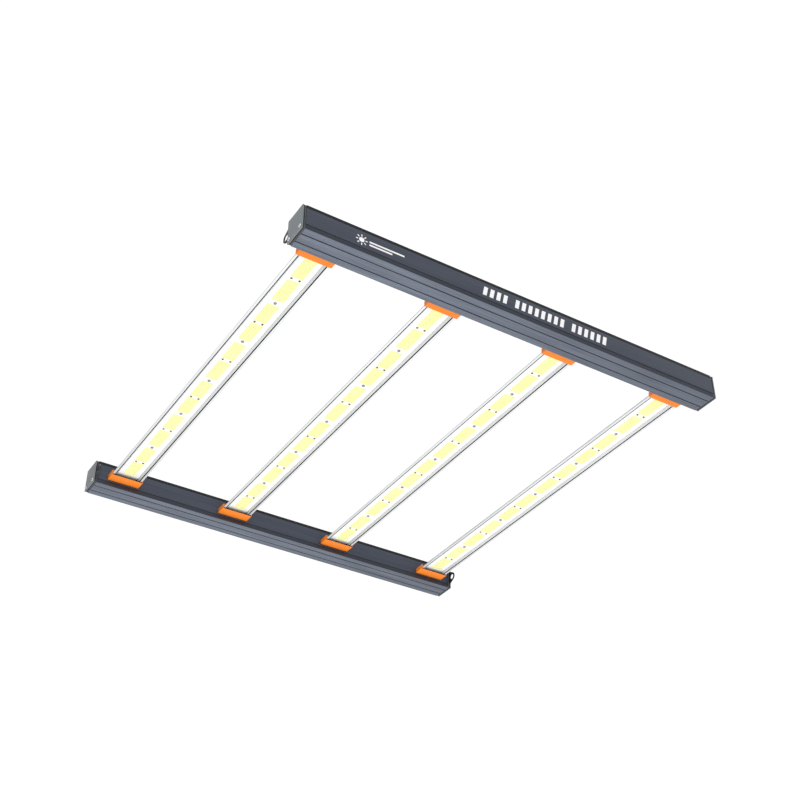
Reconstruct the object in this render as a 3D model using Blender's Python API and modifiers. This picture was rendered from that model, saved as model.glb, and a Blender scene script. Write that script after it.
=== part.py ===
"""LED grow light: two box rails joined by four light bars, each bar held at both ends by an orange clip.

Frame: metres, +Z up. The origin is at the centre of the footprint, level with the undersides of the rails.
+X runs along the rails, and +Y runs from the driver rail to the tie rail. The light shines down, towards -Z.
"""

import math

import bmesh
import bpy
from mathutils import Matrix

# Overall sizes
RAIL_LENGTH = 0.600  # over the end caps, along X
FRAME_DEPTH = 0.6446  # over both rails, along Y
GAP = 0.0003  # left between pieces that touch

# Rail: an aluminium channel, closed on top by a snap-in cover
RAIL_WIDTH = 0.0348
RAIL_HEIGHT = 0.0350  # with its cover
RAIL_WALL = 0.0018
RAIL_FLOOR = 0.0024
RAIL_CORNER = 0.0005
BAND_HEIGHT = 0.0058  # plain band below the side groove
BAND_INSET = 0.0003
SIDE_GROOVE_WIDTH = 0.0010
SIDE_GROOVE_DEPTH = 0.0009
FLOOR_GROOVE_OFFSET = 0.0071  # from the rail's middle
FLOOR_GROOVE_WIDTH = 0.0015
FLOOR_GROOVE_DEPTH = 0.0009
COVER_THICKNESS = 0.0042
COVER_CHAMFER = 0.0005
COVER_LEG_WIDTH = 0.0014
COVER_LEG_LENGTH = 0.0034
COVER_RELIEF = 0.0024  # the cover is thinner by this much between its legs

# End of a rail, from outside: an end cap, a black plate with an ear to hang the lamp by, and a rubber gasket
CAP_THICKNESS = 0.0014
CAP_CORNER = 0.0012
EAR_THICKNESS = 0.0012
EAR_INSET = 0.0003  # how far the ear's plate stays inside the cap's outline
GASKET_THICKNESS = 0.0010
GASKET_INSET = 0.0004
EAR_REACH = 0.0070  # from the rail's inner face to the hole
EAR_HOLE_HEIGHT = 0.01725
EAR_HOLE_RADIUS = 0.0040
EAR_RADIUS = 0.0069
EAR_ROOT_LOW = 0.0055
EAR_ROOT_HIGH = 0.0290

# Screws that hold an end cap to the rail
CAP_SCREW_INSET = 0.0046
CAP_SCREW_HEIGHT = 0.0048
CAP_SCREW_RADIUS = 0.0014
CAP_SCREW_LENGTH = 0.012
CAP_SCREW_HEAD_RADIUS = 0.0026
CAP_SCREW_HEAD_HEIGHT = 0.0011
CAP_SCREW_CROWN_SHARE = 0.55  # of the head's radius that is flat on top
CAP_SCREW_SHOULDER_SHARES = (0.88, 0.6)  # of the head's radius and height, where the crown turns down
CAP_SCREW_SOCKET = 0.0011  # radius over the socket's corners
CAP_SCREW_SOCKET_DEPTH = 0.0007
SCREW_BOSS_WALL = 0.0012

# Light bar: an aluminium heat sink with fins on top and a recess for the board below
BAR_COUNT = 4
BAR_PITCH = 0.1715
BAR_WIDTH = 0.044
BAR_BOTTOM = 0.0106  # above the rails' undersides
LIP_WIDTH = 0.0031
LIP_THICKNESS = 0.0018
SLOT_WIDTH = 0.0014
SLOT_DEPTH = 0.0019
SINK_FLOOR = 0.0023
SINK_SHOULDER = 0.0012
FIN_THICKNESS = 0.0014
FIN_PITCH = 0.0035
FIN_FIRST = 0.0075  # from the bar's middle
FIN_HEIGHTS = (0.0062, 0.0042, 0.0020)
BOSS_HALF_WIDTH = 0.0040
BOSS_HEIGHT = 0.0078

# Board that carries the diodes
BOARD_WIDTH = 0.030
BOARD_THICKNESS = 0.0016
BOARD_DEPTH = 0.0034  # from the bar's underside to the board's
BOARD_END = 0.006  # how far the board stops short of the bar's end

# Clip: a plastic sleeve at each end of a bar
CLIP_WIDTH = 0.0466
CLIP_DEPTH = 0.017
CLIP_FLOOR = 0.0015
CLIP_HEIGHT = 0.0074
CLIP_BACK = 0.003
CLIP_HOOK = 0.0021  # how far the clip reaches over each lip of the bar
CLIP_EDGE = 0.0007
TONGUE_TOP = 0.0036  # above the bolt's axis
TONGUE_HALF_ROOT = 0.0150
TONGUE_HALF_TIP = 0.0075

# Bolt that holds a bar and its clip to the rail
BOLT_RADIUS = 0.0020
BOLT_LENGTH = 0.016
BOLT_HEAD_RADIUS = 0.0036
BOLT_HEAD_HEIGHT = 0.0022
BOLT_CROWN_SHARE = 0.7  # of the head's radius that is flat on top
WIRE_SLOT_WIDTH = 0.0080
WIRE_SLOT_HEIGHT = 0.0020

# Two slim drivers, end to end inside the driver rail, each on a thermal pad
DRIVER_LENGTH = 0.235
DRIVER_WIDTH = 0.0175
DRIVER_HEIGHT = 0.0225
DRIVER_EDGE = 0.0008
DRIVER_END_GAP = 0.012  # between a driver and the gasket at its end of the rail
PAD_THICKNESS = 0.0010
PAD_MARGIN = 0.001
TERMINAL_LENGTH = 0.022
TERMINAL_WIDTH = 0.014
TERMINAL_HEIGHT = 0.011
TERMINAL_POLE_WIDTH = 0.0026
TERMINAL_POLES = 4
TERMINAL_POLE_DEPTH = 0.006
TERMINAL_POLE_LENGTH = 0.008

# Cable gland on top of the driver rail
GLAND_X = -0.018
GLAND_THREAD_RADIUS = 0.0060
GLAND_THREAD_LENGTH = 0.0070  # below the cover's top
GLAND_BORE_RADIUS = 0.0036
GLAND_HEX_RADIUS = 0.0090  # over the corners
GLAND_HEX_HEIGHT = 0.0034
GLAND_DOME_RADIUS = 0.0078
GLAND_DOME_HEIGHT = 0.0064
GLAND_COLLAR_RADIUS = 0.0052
GLAND_COLLAR_HEIGHT = 0.0020
GLAND_NUT_HEIGHT = 0.0030

# Rotary dimmer on top of the driver rail
DIMMER_X = 0.022
POT_WIDTH = 0.0160
POT_HEIGHT = 0.0085
BUSH_RADIUS = 0.0034
BUSH_HEIGHT = 0.0040  # above the cover's top
BUSH_NUT_RADIUS = 0.0055
BUSH_NUT_HEIGHT = 0.0018
SHAFT_RADIUS = 0.0020
SHAFT_TOP = 0.0084  # above the cover's top
SHAFT_FLAT = 0.0006
SHAFT_NECK = 0.00196  # radius of the flatted end, a little under the shaft's
SHAFT_SINK = 0.0030  # how deep the shaft reaches into the potentiometer's body
SHAFT_FLAT_STEPS = 20
KNOB_RADIUS = 0.0076
KNOB_TOP_RADIUS = 0.0068
KNOB_BOTTOM = 0.0010  # above the cover's top
KNOB_TOP = 0.0098
KNOB_CHAMFER = 0.0006
KNOB_FLUTES = 12
KNOB_FLUTE_RADIUS = 0.0011
POINTER_WIDTH = 0.0008
POINTER_LENGTH = 0.0050
POINTER_DEPTH = 0.0005

# Places that follow from the sizes above
HALF_LENGTH = RAIL_LENGTH / 2
HALF_DEPTH = FRAME_DEPTH / 2
RAIL_Y = HALF_DEPTH - RAIL_WIDTH / 2
RAIL_INNER_Y = HALF_DEPTH - RAIL_WIDTH
RAIL_HALF = HALF_LENGTH - CAP_THICKNESS - EAR_THICKNESS - GASKET_THICKNESS - 3 * GAP
CHANNEL_TOP = RAIL_HEIGHT - COVER_THICKNESS - GAP
CAVITY_HALF = RAIL_WIDTH / 2 - RAIL_WALL
COVER_PLATE = COVER_THICKNESS - COVER_RELIEF
SCREW_HOLE_RADIUS = CAP_SCREW_RADIUS + GAP
SCREW_U = RAIL_WIDTH / 2 - CAP_SCREW_INSET
BOSS_INNER = SCREW_U - SCREW_HOLE_RADIUS - SCREW_BOSS_WALL
BOSS_TOP = CAP_SCREW_HEIGHT + SCREW_HOLE_RADIUS + SCREW_BOSS_WALL
BOARD_BOTTOM = BAR_BOTTOM + BOARD_DEPTH
RECESS_TOP = BOARD_BOTTOM + BOARD_THICKNESS + GAP
SINK_TOP = RECESS_TOP + SINK_FLOOR
BOLT_Z = SINK_TOP + BOSS_HEIGHT / 2
BAR_HALF = RAIL_INNER_Y - GAP - CLIP_BACK - GAP
CLIP_BOTTOM = BAR_BOTTOM - GAP - CLIP_FLOOR
WIRE_SLOT_Z = BAR_BOTTOM + BOARD_DEPTH / 2
BAR_XS = [(i - (BAR_COUNT - 1) / 2) * BAR_PITCH for i in range(BAR_COUNT)]
ENDS = (("left", -1), ("right", 1))
RAILS = (("driver", -1), ("tie", 1))

# Sides of the round shapes
HOLE_SIDES = 16
FINE_SIDES = 24
SCREW_HOLE_SIDES = 12
EAR_HOLE_SIDES = 28
EAR_ARC_STEPS = 10
KNOB_SIDES = 36
FLUTE_SIDES = 10
HEX = 6


def clear_scene():
    for old in list(bpy.data.objects):
        bpy.data.objects.remove(old, do_unlink=True)


def new_collection(name):
    collection = bpy.data.collections.new(name)
    bpy.context.scene.collection.children.link(collection)
    return collection


clear_scene()
PARTS = new_collection("led_grow_light")
CUTTERS = new_collection("cutters")


def material(name, colour, roughness, metallic=0.0):
    made = bpy.data.materials.new(name)
    made.use_nodes = True
    shader = made.node_tree.nodes["Principled BSDF"]
    shader.inputs["Base Color"].default_value = (*colour, 1)
    shader.inputs["Roughness"].default_value = roughness
    shader.inputs["Metallic"].default_value = metallic
    made.diffuse_color = (*colour, 1)
    return made


RAIL_PAINT = material("slate_anodised", (0.085, 0.092, 0.115), 0.45, 0.6)
COVER_PAINT = material("dark_anodised", (0.02, 0.02, 0.024), 0.5, 0.5)
CAP_PAINT = material("grey_plate", (0.24, 0.26, 0.27), 0.5, 0.6)
EAR_PAINT = material("black_steel_plate", (0.02, 0.02, 0.022), 0.45, 0.3)
BARE_ALUMINIUM = material("satin_aluminium", (0.80, 0.81, 0.82), 0.35, 1.0)
BOARD_MASK = material("white_solder_mask", (0.86, 0.86, 0.84), 0.4)
CLIP_NYLON = material("orange_nylon", (0.95, 0.26, 0.02), 0.4)
STEEL = material("zinc_steel", (0.62, 0.63, 0.65), 0.3, 1.0)
RUBBER = material("grey_rubber", (0.12, 0.13, 0.14), 0.7)
DRIVER_CASE = material("driver_case", (0.70, 0.71, 0.72), 0.45, 1.0)
PAD_SILICONE = material("grey_silicone", (0.35, 0.38, 0.42), 0.8)
BLACK_NYLON = material("black_nylon", (0.03, 0.03, 0.03), 0.45)
TERMINAL_GREEN = material("terminal_green", (0.05, 0.30, 0.12), 0.45)


# Shape helpers


def add_object(name, mesh, paint=None):
    """Put a mesh in the scene: with a paint it is a part, without one it is a cutter."""
    made = bpy.data.objects.new(name, mesh)
    if paint:
        PARTS.objects.link(made)
        mesh.materials.clear()
        mesh.materials.append(paint)
    else:
        CUTTERS.objects.link(made)
        made.hide_render = True
        made.display_type = "WIRE"
    return made


def circle(u, v, radius, sides=HOLE_SIDES, phase=0.0):
    angles = [phase + 2 * math.pi * i / sides for i in range(sides)]
    return [(u + radius * math.cos(a), v + radius * math.sin(a)) for a in angles]


def rounded(points, radius, steps=3):
    """Replace each corner of a convex outline by an arc of this radius."""
    out = []
    for i, (u, v) in enumerate(points):
        before, after = points[i - 1], points[(i + 1) % len(points)]
        into = math.atan2(v - before[1], u - before[0])
        away = math.atan2(after[1] - v, after[0] - u)
        turn = math.remainder(away - into, 2 * math.pi)
        back = radius * math.tan(abs(turn) / 2)
        side = math.copysign(1, turn)
        cu = u - back * math.cos(into) - side * radius * math.sin(into)
        cv = v - back * math.sin(into) + side * radius * math.cos(into)
        for k in range(steps + 1):
            angle = into + turn * k / steps - side * math.pi / 2
            out.append((cu + radius * math.cos(angle), cv + radius * math.sin(angle)))
    return out


def rectangle(u0, v0, u1, v1):
    return [(u0, v0), (u1, v0), (u1, v1), (u0, v1)]


def mirrored(half):
    """Close the +u half of an outline, given from its bottom to its top, by its reflection in u = 0."""
    return half + [(-u, v) for u, v in reversed(half)]


# Where the outline's two directions and the extrusion's direction point, for each way a prism can lie
LYING = {
    "X": Matrix(((0, 0, 1, 0), (1, 0, 0, 0), (0, 1, 0, 0), (0, 0, 0, 1))),
    "Y": Matrix(((-1, 0, 0, 0), (0, 0, 1, 0), (0, 1, 0, 0), (0, 0, 0, 1))),
    "Z": Matrix.Identity(4),
}


def prism(name, outlines, length, along="Z", place=(0, 0, 0), paint=None):
    """Extrude a flat outline, and any holes in it, by half its length each way from place.

    The outline's u and v are Y and Z for a prism along X, -X and Z along Y, and X and Y along Z.
    """
    curve = bpy.data.curves.new(name, "CURVE")
    curve.dimensions = "2D"
    curve.fill_mode = "BOTH"
    curve.extrude = length / 2
    for outline in outlines:
        spline = curve.splines.new("POLY")
        spline.points.add(len(outline) - 1)
        for point, (u, v) in zip(spline.points, outline):
            point.co = (u, v, 0, 1)
        spline.use_cyclic_u = True
    guide = bpy.data.objects.new(name + "_outline", curve)
    bpy.context.scene.collection.objects.link(guide)
    graph = bpy.context.evaluated_depsgraph_get()
    mesh = bpy.data.meshes.new_from_object(guide.evaluated_get(graph))
    bpy.data.objects.remove(guide)
    bpy.data.curves.remove(curve)
    shape = bmesh.new()
    shape.from_mesh(mesh)
    bmesh.ops.remove_doubles(shape, verts=shape.verts, dist=1e-6)
    bmesh.ops.recalc_face_normals(shape, faces=shape.faces)
    shape.to_mesh(mesh)
    shape.free()
    mesh.name = name
    made = add_object(name, mesh, paint)
    made.matrix_world = Matrix.Translation(place) @ LYING[along]
    return made


def block(name, size, place, paint=None, edge=0.0):
    """A box of this size centred at place, with its edges rounded."""
    shape = bmesh.new()
    bmesh.ops.create_cube(shape, size=1)
    bmesh.ops.scale(shape, vec=size, verts=shape.verts)
    mesh = bpy.data.meshes.new(name)
    shape.to_mesh(mesh)
    shape.free()
    made = add_object(name, mesh, paint)
    made.location = place
    if edge:
        bevel = made.modifiers.new("rounded_edges", "BEVEL")
        bevel.width = edge
        bevel.segments = 2
    return made


# How a shape modelled upright is turned to point along each axis
POINTING = {
    (0, 0, 1): Matrix.Identity(4),
    (0, 1, 0): Matrix.Rotation(-math.pi / 2, 4, "X"),
    (0, -1, 0): Matrix.Rotation(math.pi / 2, 4, "X"),
    (1, 0, 0): Matrix.Rotation(math.pi / 2, 4, "Y"),
    (-1, 0, 0): Matrix.Rotation(-math.pi / 2, 4, "Y"),
}


def turned(name, profile, place, along=(0, 0, 1), paint=None, sides=FINE_SIDES):
    """Turn a profile of (radius, height) points, listed top to bottom on its outer side, about its axis."""
    mesh = bpy.data.meshes.new(name)
    closing = [] if profile[0][0] == 0 else [(len(profile) - 1, 0)]
    edges = [(i, i + 1) for i in range(len(profile) - 1)] + closing
    mesh.from_pydata([(r, 0, h) for r, h in profile], edges, [])
    made = add_object(name, mesh, paint)
    screw = made.modifiers.new("turned", "SCREW")
    screw.steps = screw.render_steps = sides
    screw.use_merge_vertices = True
    screw.merge_threshold = 0.00001
    made.matrix_world = Matrix.Translation(place) @ POINTING[along]
    return made


def boolean(target, operation, other):
    step = target.modifiers.new(other.name, "BOOLEAN")
    step.operation = operation
    step.object = other
    step.solver = "EXACT"
    return target


def cut(target, *cutters):
    for cutter in cutters:
        boolean(target, "DIFFERENCE", cutter)
    return target


# Rails


def groove(u, v, width, depth, sideways):
    """Four corners of a groove whose mouth is centred at (u, v): into +v, or into -u when sideways."""
    if sideways:
        low, high = v - width / 2, v + width / 2
        return [(u, low), (u - depth, low), (u - depth, high), (u, high)]
    near, far = u - width / 2, u + width / 2
    return [(near, v), (near, v + depth), (far, v + depth), (far, v)]


def rail_section():
    """The channel's outline and its two screw holes; u is across the rail, from its middle."""
    half = RAIL_WIDTH / 2
    band = half - BAND_INSET
    groove_z = BAND_HEIGHT + SIDE_GROOVE_WIDTH / 2
    outer = groove(FLOOR_GROOVE_OFFSET, 0, FLOOR_GROOVE_WIDTH, FLOOR_GROOVE_DEPTH, False)
    outer += [(band - RAIL_CORNER, 0), (band, RAIL_CORNER), (band, BAND_HEIGHT)]
    outer += groove(half, groove_z, SIDE_GROOVE_WIDTH, SIDE_GROOVE_DEPTH, True)[1:]
    outer += [(half, CHANNEL_TOP), (CAVITY_HALF, CHANNEL_TOP), (CAVITY_HALF, BOSS_TOP)]
    outer += [(BOSS_INNER, BOSS_TOP), (BOSS_INNER, RAIL_FLOOR)]
    return [mirrored(outer)] + screw_holes()


def build_rails():
    rails = {}
    for name, side in RAILS:
        place = (0, side * RAIL_Y, 0)
        rail = prism(name + "_rail", rail_section(), 2 * RAIL_HALF, "X", place, RAIL_PAINT)
        wall_y = side * (RAIL_INNER_Y + RAIL_WALL / 2)
        for i, x in enumerate(BAR_XS):
            bolt_hole = prism(
                f"{name}_bolt_hole_{i + 1}",
                [circle(0, 0, BOLT_RADIUS + GAP)],
                4 * RAIL_WALL,
                "Y",
                (x, wall_y, BOLT_Z),
            )
            size = (WIRE_SLOT_WIDTH, 4 * RAIL_WALL, WIRE_SLOT_HEIGHT)
            wire_slot = block(f"{name}_wire_slot_{i + 1}", size, (x, wall_y, WIRE_SLOT_Z))
            cut(rail, bolt_hole, wire_slot)
        rails[name] = rail
    return rails


def cover_section():
    half = RAIL_WIDTH / 2
    leg_outer = CAVITY_HALF - GAP
    leg_inner = leg_outer - COVER_LEG_WIDTH
    under = RAIL_HEIGHT - COVER_THICKNESS
    foot = under - COVER_LEG_LENGTH
    ceiling = under + COVER_RELIEF
    outer = [(leg_inner, ceiling), (leg_inner, foot), (leg_outer, foot), (leg_outer, under)]
    outer += [(half, under), (half, RAIL_HEIGHT - COVER_CHAMFER), (half - COVER_CHAMFER, RAIL_HEIGHT)]
    return [mirrored(outer)]


def build_covers():
    covers = {}
    for name, side in RAILS:
        place = (0, side * RAIL_Y, 0)
        covers[name] = prism(name + "_rail_cover", cover_section(), 2 * RAIL_HALF, "X", place, COVER_PAINT)
    return covers


# Ends of the rails


def ear_arc():
    """The ear's round end, from below to above, as angles about its hole between the two straight flanks."""
    reach = math.hypot(EAR_REACH, EAR_ROOT_HIGH - EAR_HOLE_HEIGHT)
    root = math.atan2(EAR_ROOT_HIGH - EAR_HOLE_HEIGHT, -EAR_REACH)
    high = root - math.acos(EAR_RADIUS / reach)
    reach = math.hypot(EAR_REACH, EAR_ROOT_LOW - EAR_HOLE_HEIGHT)
    root = math.atan2(EAR_ROOT_LOW - EAR_HOLE_HEIGHT, -EAR_REACH)
    low = root + math.acos(EAR_RADIUS / reach)
    return [low + (high - low) * i / EAR_ARC_STEPS for i in range(EAR_ARC_STEPS + 1)]


def screw_holes():
    return [circle(s * SCREW_U, CAP_SCREW_HEIGHT, SCREW_HOLE_RADIUS, SCREW_HOLE_SIDES) for s in (-1, 1)]


def plate_outline(inset):
    """The rail's outline as a rounded rectangle, this far inside it; u is Y from the rail's middle."""
    half = RAIL_WIDTH / 2 - inset
    return rounded(rectangle(-half, inset, half, RAIL_HEIGHT - inset), CAP_CORNER)


def ear_section(side):
    """The ear plate's outline and holes; u is Y from the rail's middle, and the ear is inboard."""
    half = RAIL_WIDTH / 2 - EAR_INSET
    ear_u = RAIL_WIDTH / 2 + EAR_REACH
    body = plate_outline(EAR_INSET)
    below_ear, above_ear = body[: len(body) // 2], body[len(body) // 2 :]
    arc = [
        (ear_u + EAR_RADIUS * math.cos(a), EAR_HOLE_HEIGHT + EAR_RADIUS * math.sin(a)) for a in ear_arc()
    ]
    outline = below_ear + [(half, EAR_ROOT_LOW)] + arc + [(half, EAR_ROOT_HIGH)] + above_ear
    holes = screw_holes() + [circle(ear_u, EAR_HOLE_HEIGHT, EAR_HOLE_RADIUS, EAR_HOLE_SIDES)]
    return [[(-side * u, v) for u, v in points] for points in [outline] + holes]


def gasket_section():
    opening = [(BOSS_INNER, RAIL_FLOOR), (BOSS_INNER, BOSS_TOP), (CAVITY_HALF, BOSS_TOP)]
    opening += [(CAVITY_HALF, CHANNEL_TOP - COVER_LEG_LENGTH)]
    return [plate_outline(GASKET_INSET), mirrored(opening)] + screw_holes()


def build_rail_ends():
    """Stack the cap, the ear plate and the gasket on each end of each rail, and screw them on."""
    for rail_name, side in RAILS:
        y = side * RAIL_Y
        for end_name, end in ENDS:
            tag = f"{rail_name}_{end_name}"
            stack = (
                ("end_cap_", [plate_outline(0)] + screw_holes(), CAP_THICKNESS, CAP_PAINT),
                ("hanging_ear_", ear_section(side), EAR_THICKNESS, EAR_PAINT),
                ("gasket_", gasket_section(), GASKET_THICKNESS, RUBBER),
            )
            face = HALF_LENGTH
            for kind, section, thickness, paint in stack:
                prism(kind + tag, section, thickness, "X", (end * (face - thickness / 2), y, 0), paint)
                face -= thickness + GAP
            for k, u in enumerate((-SCREW_U, SCREW_U)):
                build_cap_screw(f"cap_screw_{tag}_{k + 1}", end, y + u)


def build_cap_screw(name, end, y):
    """A button-head screw with a hex socket; its head stands on the cap's outer face."""
    seat = GAP
    top = seat + CAP_SCREW_HEAD_HEIGHT
    shoulder_radius, shoulder_height = CAP_SCREW_SHOULDER_SHARES
    profile = [
        (0, top),
        (CAP_SCREW_HEAD_RADIUS * CAP_SCREW_CROWN_SHARE, top),
        (CAP_SCREW_HEAD_RADIUS * shoulder_radius, seat + CAP_SCREW_HEAD_HEIGHT * shoulder_height),
        (CAP_SCREW_HEAD_RADIUS, seat),
        (CAP_SCREW_RADIUS, seat),
        (CAP_SCREW_RADIUS, -CAP_SCREW_LENGTH),
        (0, -CAP_SCREW_LENGTH),
    ]
    screw = turned(name, profile, (end * HALF_LENGTH, y, CAP_SCREW_HEIGHT), (end, 0, 0), STEEL, HOLE_SIDES)
    mouth = (end * (HALF_LENGTH + top), y, CAP_SCREW_HEIGHT)
    hexagon = [circle(0, 0, CAP_SCREW_SOCKET, HEX)]
    socket = prism(name + "_socket", hexagon, 2 * CAP_SCREW_SOCKET_DEPTH, "X", mouth)
    return cut(screw, socket)


# Light bars


def sink_section():
    """The bar's outline and the bore of its screw boss; u is across the bar, from its middle."""
    half = BAR_WIDTH / 2
    slot_outer = half - LIP_WIDTH
    slot_inner = slot_outer - SLOT_WIDTH
    recess = BOARD_WIDTH / 2 + GAP
    shoulder = recess + SINK_SHOULDER
    lip_top = BAR_BOTTOM + LIP_THICKNESS
    lip_root = half - CLIP_HOOK
    outer = [(recess, RECESS_TOP), (recess, BOARD_BOTTOM), (slot_inner, BAR_BOTTOM)]
    outer += [(slot_inner, BAR_BOTTOM + SLOT_DEPTH), (slot_outer, BAR_BOTTOM + SLOT_DEPTH)]
    outer += [(slot_outer, BAR_BOTTOM), (half, BAR_BOTTOM), (half, lip_top), (lip_root, lip_top)]
    outer += [(shoulder, lip_top + lip_root - shoulder), (shoulder, SINK_TOP)]
    for i in reversed(range(len(FIN_HEIGHTS))):
        near = FIN_FIRST + i * FIN_PITCH - FIN_THICKNESS / 2
        far, top = near + FIN_THICKNESS, SINK_TOP + FIN_HEIGHTS[i]
        outer += [(far, SINK_TOP), (far, top), (near, top), (near, SINK_TOP)]
    outer += [(BOSS_HALF_WIDTH, SINK_TOP), (BOSS_HALF_WIDTH, SINK_TOP + BOSS_HEIGHT)]
    return [mirrored(outer), circle(0, BOLT_Z, BOLT_RADIUS + GAP)]


def build_bars():
    board_size = (BOARD_WIDTH, 2 * (BAR_HALF - BOARD_END), BOARD_THICKNESS)
    for i, x in enumerate(BAR_XS):
        prism(f"bar_heat_sink_{i + 1}", sink_section(), 2 * BAR_HALF, "Y", (x, 0, 0), BARE_ALUMINIUM)
        block(f"led_board_{i + 1}", board_size, (x, 0, BOARD_BOTTOM + BOARD_THICKNESS / 2), BOARD_MASK)


def build_clip(name, x, side):
    """A sleeve, open inboard and on top, with hooks over the bar's lips and a tongue for the bolt."""
    back = RAIL_INNER_Y - GAP
    front = back - CLIP_DEPTH
    pocket_end = back - CLIP_BACK
    place = (x, side * (back + front) / 2, CLIP_BOTTOM + CLIP_HEIGHT / 2)
    clip = block(name, (CLIP_WIDTH, CLIP_DEPTH, CLIP_HEIGHT), place, CLIP_NYLON, CLIP_EDGE)
    root_z = CLIP_BOTTOM + CLIP_HEIGHT / 2
    tip_z = BOLT_Z + TONGUE_TOP
    tongue_outline = [(-TONGUE_HALF_ROOT, root_z), (TONGUE_HALF_ROOT, root_z)]
    tongue_outline += [(TONGUE_HALF_ROOT, CLIP_BOTTOM + CLIP_HEIGHT), (TONGUE_HALF_TIP, tip_z)]
    tongue_outline += [(-TONGUE_HALF_TIP, tip_z), (-TONGUE_HALF_ROOT, CLIP_BOTTOM + CLIP_HEIGHT)]
    tongue_place = (x, side * (back - CLIP_BACK / 2), 0)
    boolean(clip, "UNION", prism(name + "_tongue", [tongue_outline], CLIP_BACK, "Y", tongue_place))
    pocket_length = 2 * (pocket_end - front)
    pocket_y = side * (pocket_end - pocket_length / 2)
    lip_floor, lip_roof = BAR_BOTTOM - GAP, BAR_BOTTOM + LIP_THICKNESS + GAP
    lips = block(
        name + "_lips",
        (BAR_WIDTH + 2 * GAP, pocket_length, lip_roof - lip_floor),
        (x, pocket_y, (lip_floor + lip_roof) / 2),
    )
    body = block(
        name + "_body",
        (BAR_WIDTH - 2 * CLIP_HOOK + 2 * GAP, pocket_length, 2 * CLIP_HEIGHT),
        (x, pocket_y, lip_floor + CLIP_HEIGHT),
    )
    wire_slot = block(
        name + "_wire_slot", (WIRE_SLOT_WIDTH, 3 * CLIP_BACK, WIRE_SLOT_HEIGHT), (x, side * back, WIRE_SLOT_Z)
    )
    bolt_hole = prism(
        name + "_bolt_hole", [circle(0, 0, BOLT_RADIUS + GAP)], 3 * CLIP_BACK, "Y", (x, side * back, BOLT_Z)
    )
    return cut(clip, lips, body, wire_slot, bolt_hole)


def build_bolt(name, x, side):
    """A pan-head bolt whose head bears on the inside of the rail's wall."""
    top = GAP + BOLT_HEAD_HEIGHT
    profile = [
        (0, top),
        (BOLT_HEAD_RADIUS * BOLT_CROWN_SHARE, top),
        (BOLT_HEAD_RADIUS, top - BOLT_HEAD_HEIGHT / 2),
        (BOLT_HEAD_RADIUS, GAP),
        (BOLT_RADIUS, GAP),
        (BOLT_RADIUS, -BOLT_LENGTH),
        (0, -BOLT_LENGTH),
    ]
    place = (x, side * (RAIL_INNER_Y + RAIL_WALL), BOLT_Z)
    return turned(name, profile, place, (0, side, 0), STEEL, HOLE_SIDES)


def build_joints():
    for name, side in RAILS:
        for i, x in enumerate(BAR_XS):
            build_clip(f"bar_clip_{name}_{i + 1}", x, side)
            build_bolt(f"bar_bolt_{name}_{i + 1}", x, side)


# Power and control, inside and on top of the driver rail


def build_drivers():
    end_x = RAIL_HALF - DRIVER_END_GAP
    middle_x = end_x - DRIVER_LENGTH / 2
    pad_z = RAIL_FLOOR + GAP + PAD_THICKNESS / 2
    driver_z = pad_z + PAD_THICKNESS / 2 + GAP + DRIVER_HEIGHT / 2
    pad_size = (DRIVER_LENGTH - 2 * PAD_MARGIN, DRIVER_WIDTH - 2 * PAD_MARGIN, PAD_THICKNESS)
    driver_size = (DRIVER_LENGTH, DRIVER_WIDTH, DRIVER_HEIGHT)
    for name, end in ENDS:
        block("thermal_pad_" + name, pad_size, (end * middle_x, -RAIL_Y, pad_z), PAD_SILICONE)
        place = (end * middle_x, -RAIL_Y, driver_z)
        block("led_driver_" + name, driver_size, place, DRIVER_CASE, DRIVER_EDGE)


def build_terminals():
    size = (TERMINAL_LENGTH, TERMINAL_WIDTH, TERMINAL_HEIGHT)
    top = RAIL_FLOOR + GAP + TERMINAL_HEIGHT
    body = block("terminal_block", size, (0, -RAIL_Y, top - TERMINAL_HEIGHT / 2), TERMINAL_GREEN)
    pitch = TERMINAL_LENGTH / TERMINAL_POLES
    hole = (TERMINAL_POLE_WIDTH, TERMINAL_POLE_LENGTH, 2 * TERMINAL_POLE_DEPTH)
    for i in range(TERMINAL_POLES):
        x = (i - (TERMINAL_POLES - 1) / 2) * pitch
        cut(body, block(f"terminal_pole_{i + 1}", hole, (x, -RAIL_Y, top)))


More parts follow.
